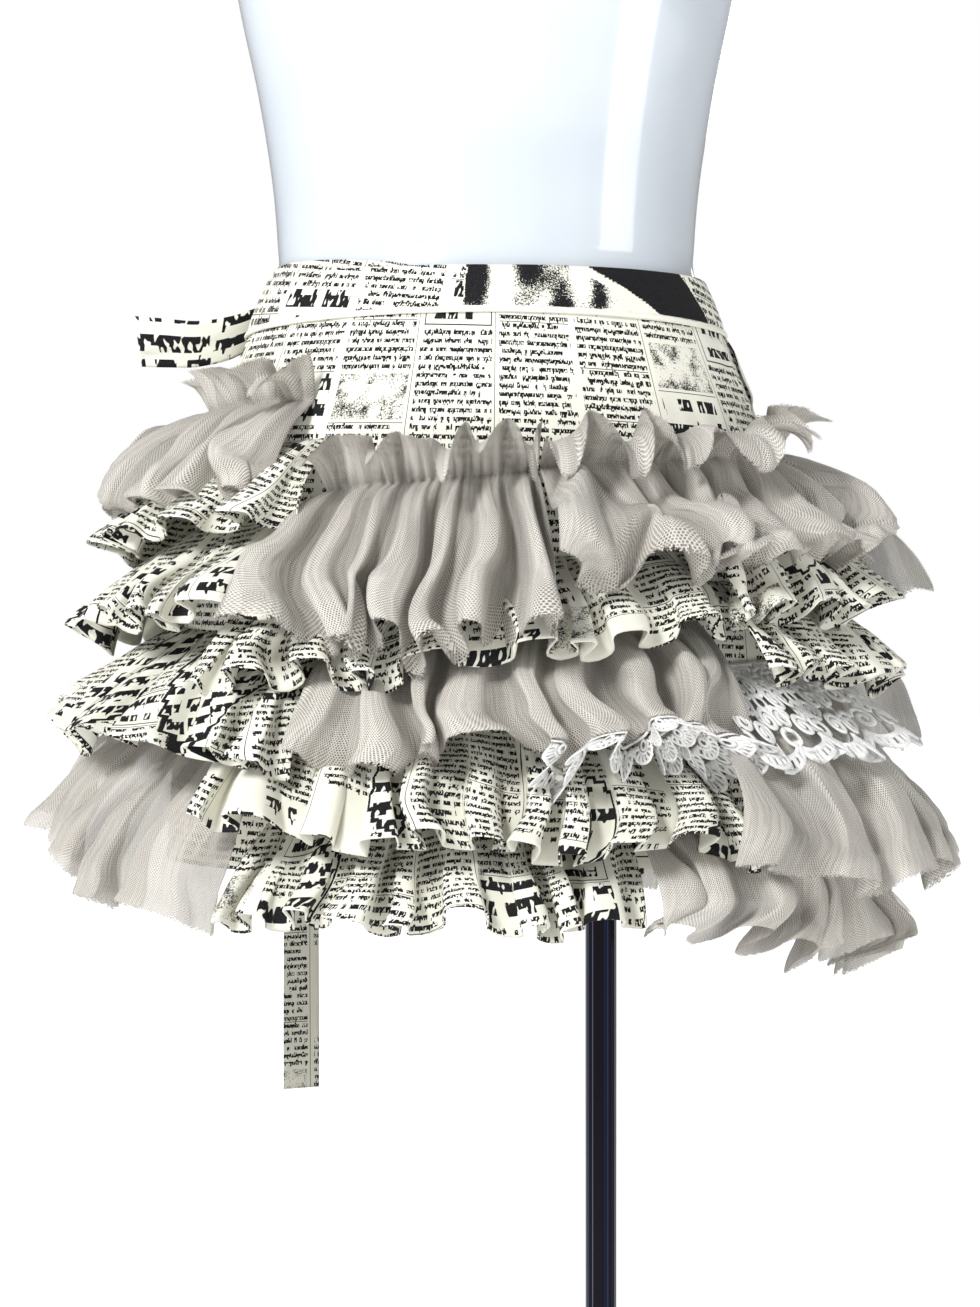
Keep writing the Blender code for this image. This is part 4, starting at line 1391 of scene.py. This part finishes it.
def make_form():
    """The smooth torso, through ovals on a spline between the sections."""
    sections = [Vector((row.height, row.half_breadth, row.half_depth)) for row in FORM_SECTIONS]
    forwards = [Vector((row.forward, 0.0, 0.0)) for row in FORM_SECTIONS]
    rings = 120
    columns = 96
    bm = bmesh.new()
    loops = []
    for number in range(rings + 1):
        share = number / rings
        height, half_breadth, half_depth = along_curve(sections, share)
        forward = along_curve(forwards, share).x
        made = bmesh.ops.create_circle(bm, cap_ends=False, radius=1.0, segments=columns)
        for vert in made["verts"]:
            vert.co = Vector(
                (FORM_X + vert.co.x * half_breadth, vert.co.y * half_depth - forward, WAIST_HEIGHT + height)
            )
        loops.append(list({edge for vert in made["verts"] for edge in vert.link_edges}))
    for lower, upper in zip(loops, loops[1:]):
        bmesh.ops.bridge_loops(bm, edges=lower + upper)
    bmesh.ops.contextual_create(bm, geom=loops[0])
    bmesh.ops.contextual_create(bm, geom=loops[-1])
    bmesh.ops.recalc_face_normals(bm, faces=bm.faces)
    uv = bm.loops.layers.uv.new("flat")
    for face in bm.faces:
        turns = [math.atan2(loop.vert.co.x - FORM_X, -loop.vert.co.y) for loop in face.loops]
        behind = max(turns) - min(turns) > math.pi
        for loop, turn in zip(face.loops, turns):
            round_it = turn + FULL_TURN if behind and turn < 0.0 else turn
            loop[uv].uv = (round_it * FORM_SECTIONS[0].half_breadth, loop.vert.co.z)
    obj = new_object("form_torso_shell", bm)
    obj.data.shade_smooth()
    obj.data.set_sharp_from_angle(angle=math.radians(50))
    obj.data.materials.append(bpy.data.materials["form_shell" + FINISH])
    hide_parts("form_torso")
    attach(obj, BODY)


def finish_solid(node, slot):
    """A CAD node that keeps its shape and gets its finish."""
    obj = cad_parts[node]
    obj.data.materials.clear()
    obj.data.materials.append(bpy.data.materials[slot + FINISH])


def make_stage():
    scene = bpy.context.scene
    bpy.ops.mesh.primitive_circle_add(
        vertices=96, radius=30.0, fill_type="NGON", location=(0.0, 0.0, -0.0005)
    )
    floor = bpy.context.object
    floor.name = "pale_floor"
    w, shader = new_material("pale_floor")
    place = w.place()
    w.put(shader["Roughness"], w.ramp(w.noise(place, 3.0, 2.0), 0.3, 0.7, 0.7, 0.8))
    w.put(shader["Base Color"], (0.93, 0.93, 0.93, 1.0))
    w.put(shader["Emission Color"], (1.0, 1.0, 1.0, 1.0))
    x, y, _ = w.parts(place)
    away = w.math("SQRT", w.add(w.mul(x, x), w.mul(y, y)))
    w.put(shader["Emission Strength"], w.ramp(away, 0.5, 1.5, FLOOR_GLOW, 1.0))
    w.put(shader["Specular IOR Level"], 0.0)
    floor.data.materials.append(bpy.data.materials["pale_floor"])

    world = bpy.data.worlds.new("studio")
    scene.world = world
    world.use_nodes = True
    tree = world.node_tree
    soft = tree.nodes["Background"]
    soft.inputs["Color"].default_value = (1.0, 1.0, 1.0, 1.0)
    soft.inputs["Strength"].default_value = WORLD_LIGHT
    white = tree.nodes.new("ShaderNodeBackground")
    white.inputs["Color"].default_value = (1.0, 1.0, 1.0, 1.0)
    path = tree.nodes.new("ShaderNodeLightPath")
    mix = tree.nodes.new("ShaderNodeMixShader")
    tree.links.new(path.outputs["Is Camera Ray"], mix.inputs[0])
    tree.links.new(soft.outputs[0], mix.inputs[1])
    tree.links.new(white.outputs[0], mix.inputs[2])
    tree.links.new(mix.outputs[0], tree.nodes["World Output"].inputs["Surface"])

    lights = [
        # name, place, size, power
        ("key_light", (-1.1, -1.7, 1.95), 0.5, 46.0),
        ("right_light", (1.9, -1.1, 1.3), 0.8, 7.5),
        ("back_light", (0.4, 2.2, 2.2), 1.4, 18.0),
    ]
    aim = Vector((FORM_X, 0.0, WAIST_HEIGHT - AIM_DROP))
    for name, place, size, power in lights:
        light = bpy.data.lights.new(name, "AREA")
        light.size = size
        light.energy = power
        lamp = bpy.data.objects.new(name, light)
        lamp.location = place
        lamp.rotation_euler = (aim - Vector(place)).to_track_quat("-Z", "Y").to_euler()
        scene.collection.objects.link(lamp)

    camera = bpy.data.cameras.new("photo_camera")
    camera.sensor_width = SENSOR
    camera.lens = FOCAL_PX / PHOTO_HEIGHT_PX * SENSOR
    camera.clip_start = 0.05
    viewer = bpy.data.objects.new("photo_camera", camera)
    viewer.location = (CAMERA_X, -CAMERA_DISTANCE, CAMERA_HEIGHT)
    viewer.rotation_euler = (math.pi / 2.0, 0.0, 0.0)
    scene.collection.objects.link(viewer)
    scene.camera = viewer
    scene.view_settings.view_transform = "Standard"
    scene.cycles.transparent_max_bounces = LIGHT_PASSES


class SKIRT_OT_finishes(Operator):
    """Makes the node groups and materials"""

    bl_idname = "skirt.finishes"
    bl_label = "Make Finishes"

    def execute(self, context):
        make_line_marks()
        make_newsprint()
        make_weave()
        make_net()
        make_fray()
        make_cotton_material()
        make_mesh_material()
        make_lace_material()
        make_shell_material()
        make_tube_material()
        make_plate_material()
        return {"FINISHED"}


class SKIRT_OT_form(Operator):
    """Makes the dress form and finishes its stand"""

    bl_idname = "skirt.form"
    bl_label = "Make Form and Stand"

    def execute(self, context):
        make_form()
        for node in ("pole", "base_collar", "form_flange", "neck_cap"):
            finish_solid(node, "stand_tube")
        finish_solid("base_plate", "stand_plate")
        return {"FINISHED"}


class SKIRT_OT_bands(Operator):
    """Makes the waistbands"""

    bl_idname = "skirt.bands"
    bl_label = "Make Waistbands"

    def execute(self, context):
        make_bands()
        return {"FINISHED"}


class SKIRT_OT_panels(Operator):
    """Makes the panels that carry the ruffles, and the gathered yoke"""

    bl_idname = "skirt.panels"
    bl_label = "Make Panels"

    def execute(self, context):
        make_panels()
        make_yoke()
        return {"FINISHED"}


class SKIRT_OT_ruffles(Operator):
    """Makes the gathered strips of mesh and printed cotton"""

    bl_idname = "skirt.ruffles"
    bl_label = "Make Ruffles"

    def execute(self, context):
        for ruffle in RUFFLES:
            make_ruffle(ruffle)
        return {"FINISHED"}


class SKIRT_OT_lace(Operator):
    """Makes the lace frill and the lace edging"""

    bl_idname = "skirt.lace"
    bl_label = "Make Lace"

    def execute(self, context):
        make_lace()
        return {"FINISHED"}


class SKIRT_OT_ties(Operator):
    """Makes the two ties"""

    bl_idname = "skirt.ties"
    bl_label = "Make Ties"

    def execute(self, context):
        make_ties()
        return {"FINISHED"}


class SKIRT_OT_stage(Operator):
    """Makes the floor, the lights and the camera"""

    bl_idname = "skirt.stage"
    bl_label = "Make Stage"

    def execute(self, context):
        make_stage()
        return {"FINISHED"}


STEPS = (
    SKIRT_OT_finishes, SKIRT_OT_form, SKIRT_OT_bands, SKIRT_OT_panels,
    SKIRT_OT_ruffles, SKIRT_OT_lace, SKIRT_OT_ties, SKIRT_OT_stage,
)


class SKIRT_PT_sidebar(Panel):
    """Lists the steps that make the skirt"""

    bl_label = "Wrap Skirt"
    bl_idname = "SKIRT_PT_sidebar"
    bl_space_type = "VIEW_3D"
    bl_region_type = "UI"
    bl_category = "Skirt"

    def draw(self, context):
        for step in STEPS:
            self.layout.operator(step.bl_idname)
        for group in (context.scene.skirt_sizes, context.scene.skirt_colours):
            for name in group.bl_rna.properties.keys():
                if name not in ("rna_type", "name"):
                    self.layout.prop(group, name)


CLASSES = (SkirtSizes, SkirtColours, *STEPS, SKIRT_PT_sidebar)


def register():
    for item in CLASSES:
        bpy.utils.register_class(item)
    bpy.types.Scene.skirt_sizes = PointerProperty(type=SkirtSizes)
    bpy.types.Scene.skirt_colours = PointerProperty(type=SkirtColours)


def unregister():
    del bpy.types.Scene.skirt_colours
    del bpy.types.Scene.skirt_sizes
    for item in reversed(CLASSES):
        bpy.utils.unregister_class(item)


def main():
    register()
    bpy.ops.skirt.finishes()
    bpy.ops.skirt.form()
    bpy.ops.skirt.bands()
    bpy.ops.skirt.panels()
    bpy.ops.skirt.ruffles()
    bpy.ops.skirt.lace()
    bpy.ops.skirt.ties()
    bpy.ops.skirt.stage()
    bpy.context.view_layer.update()


if __name__ == "__main__":
    main()
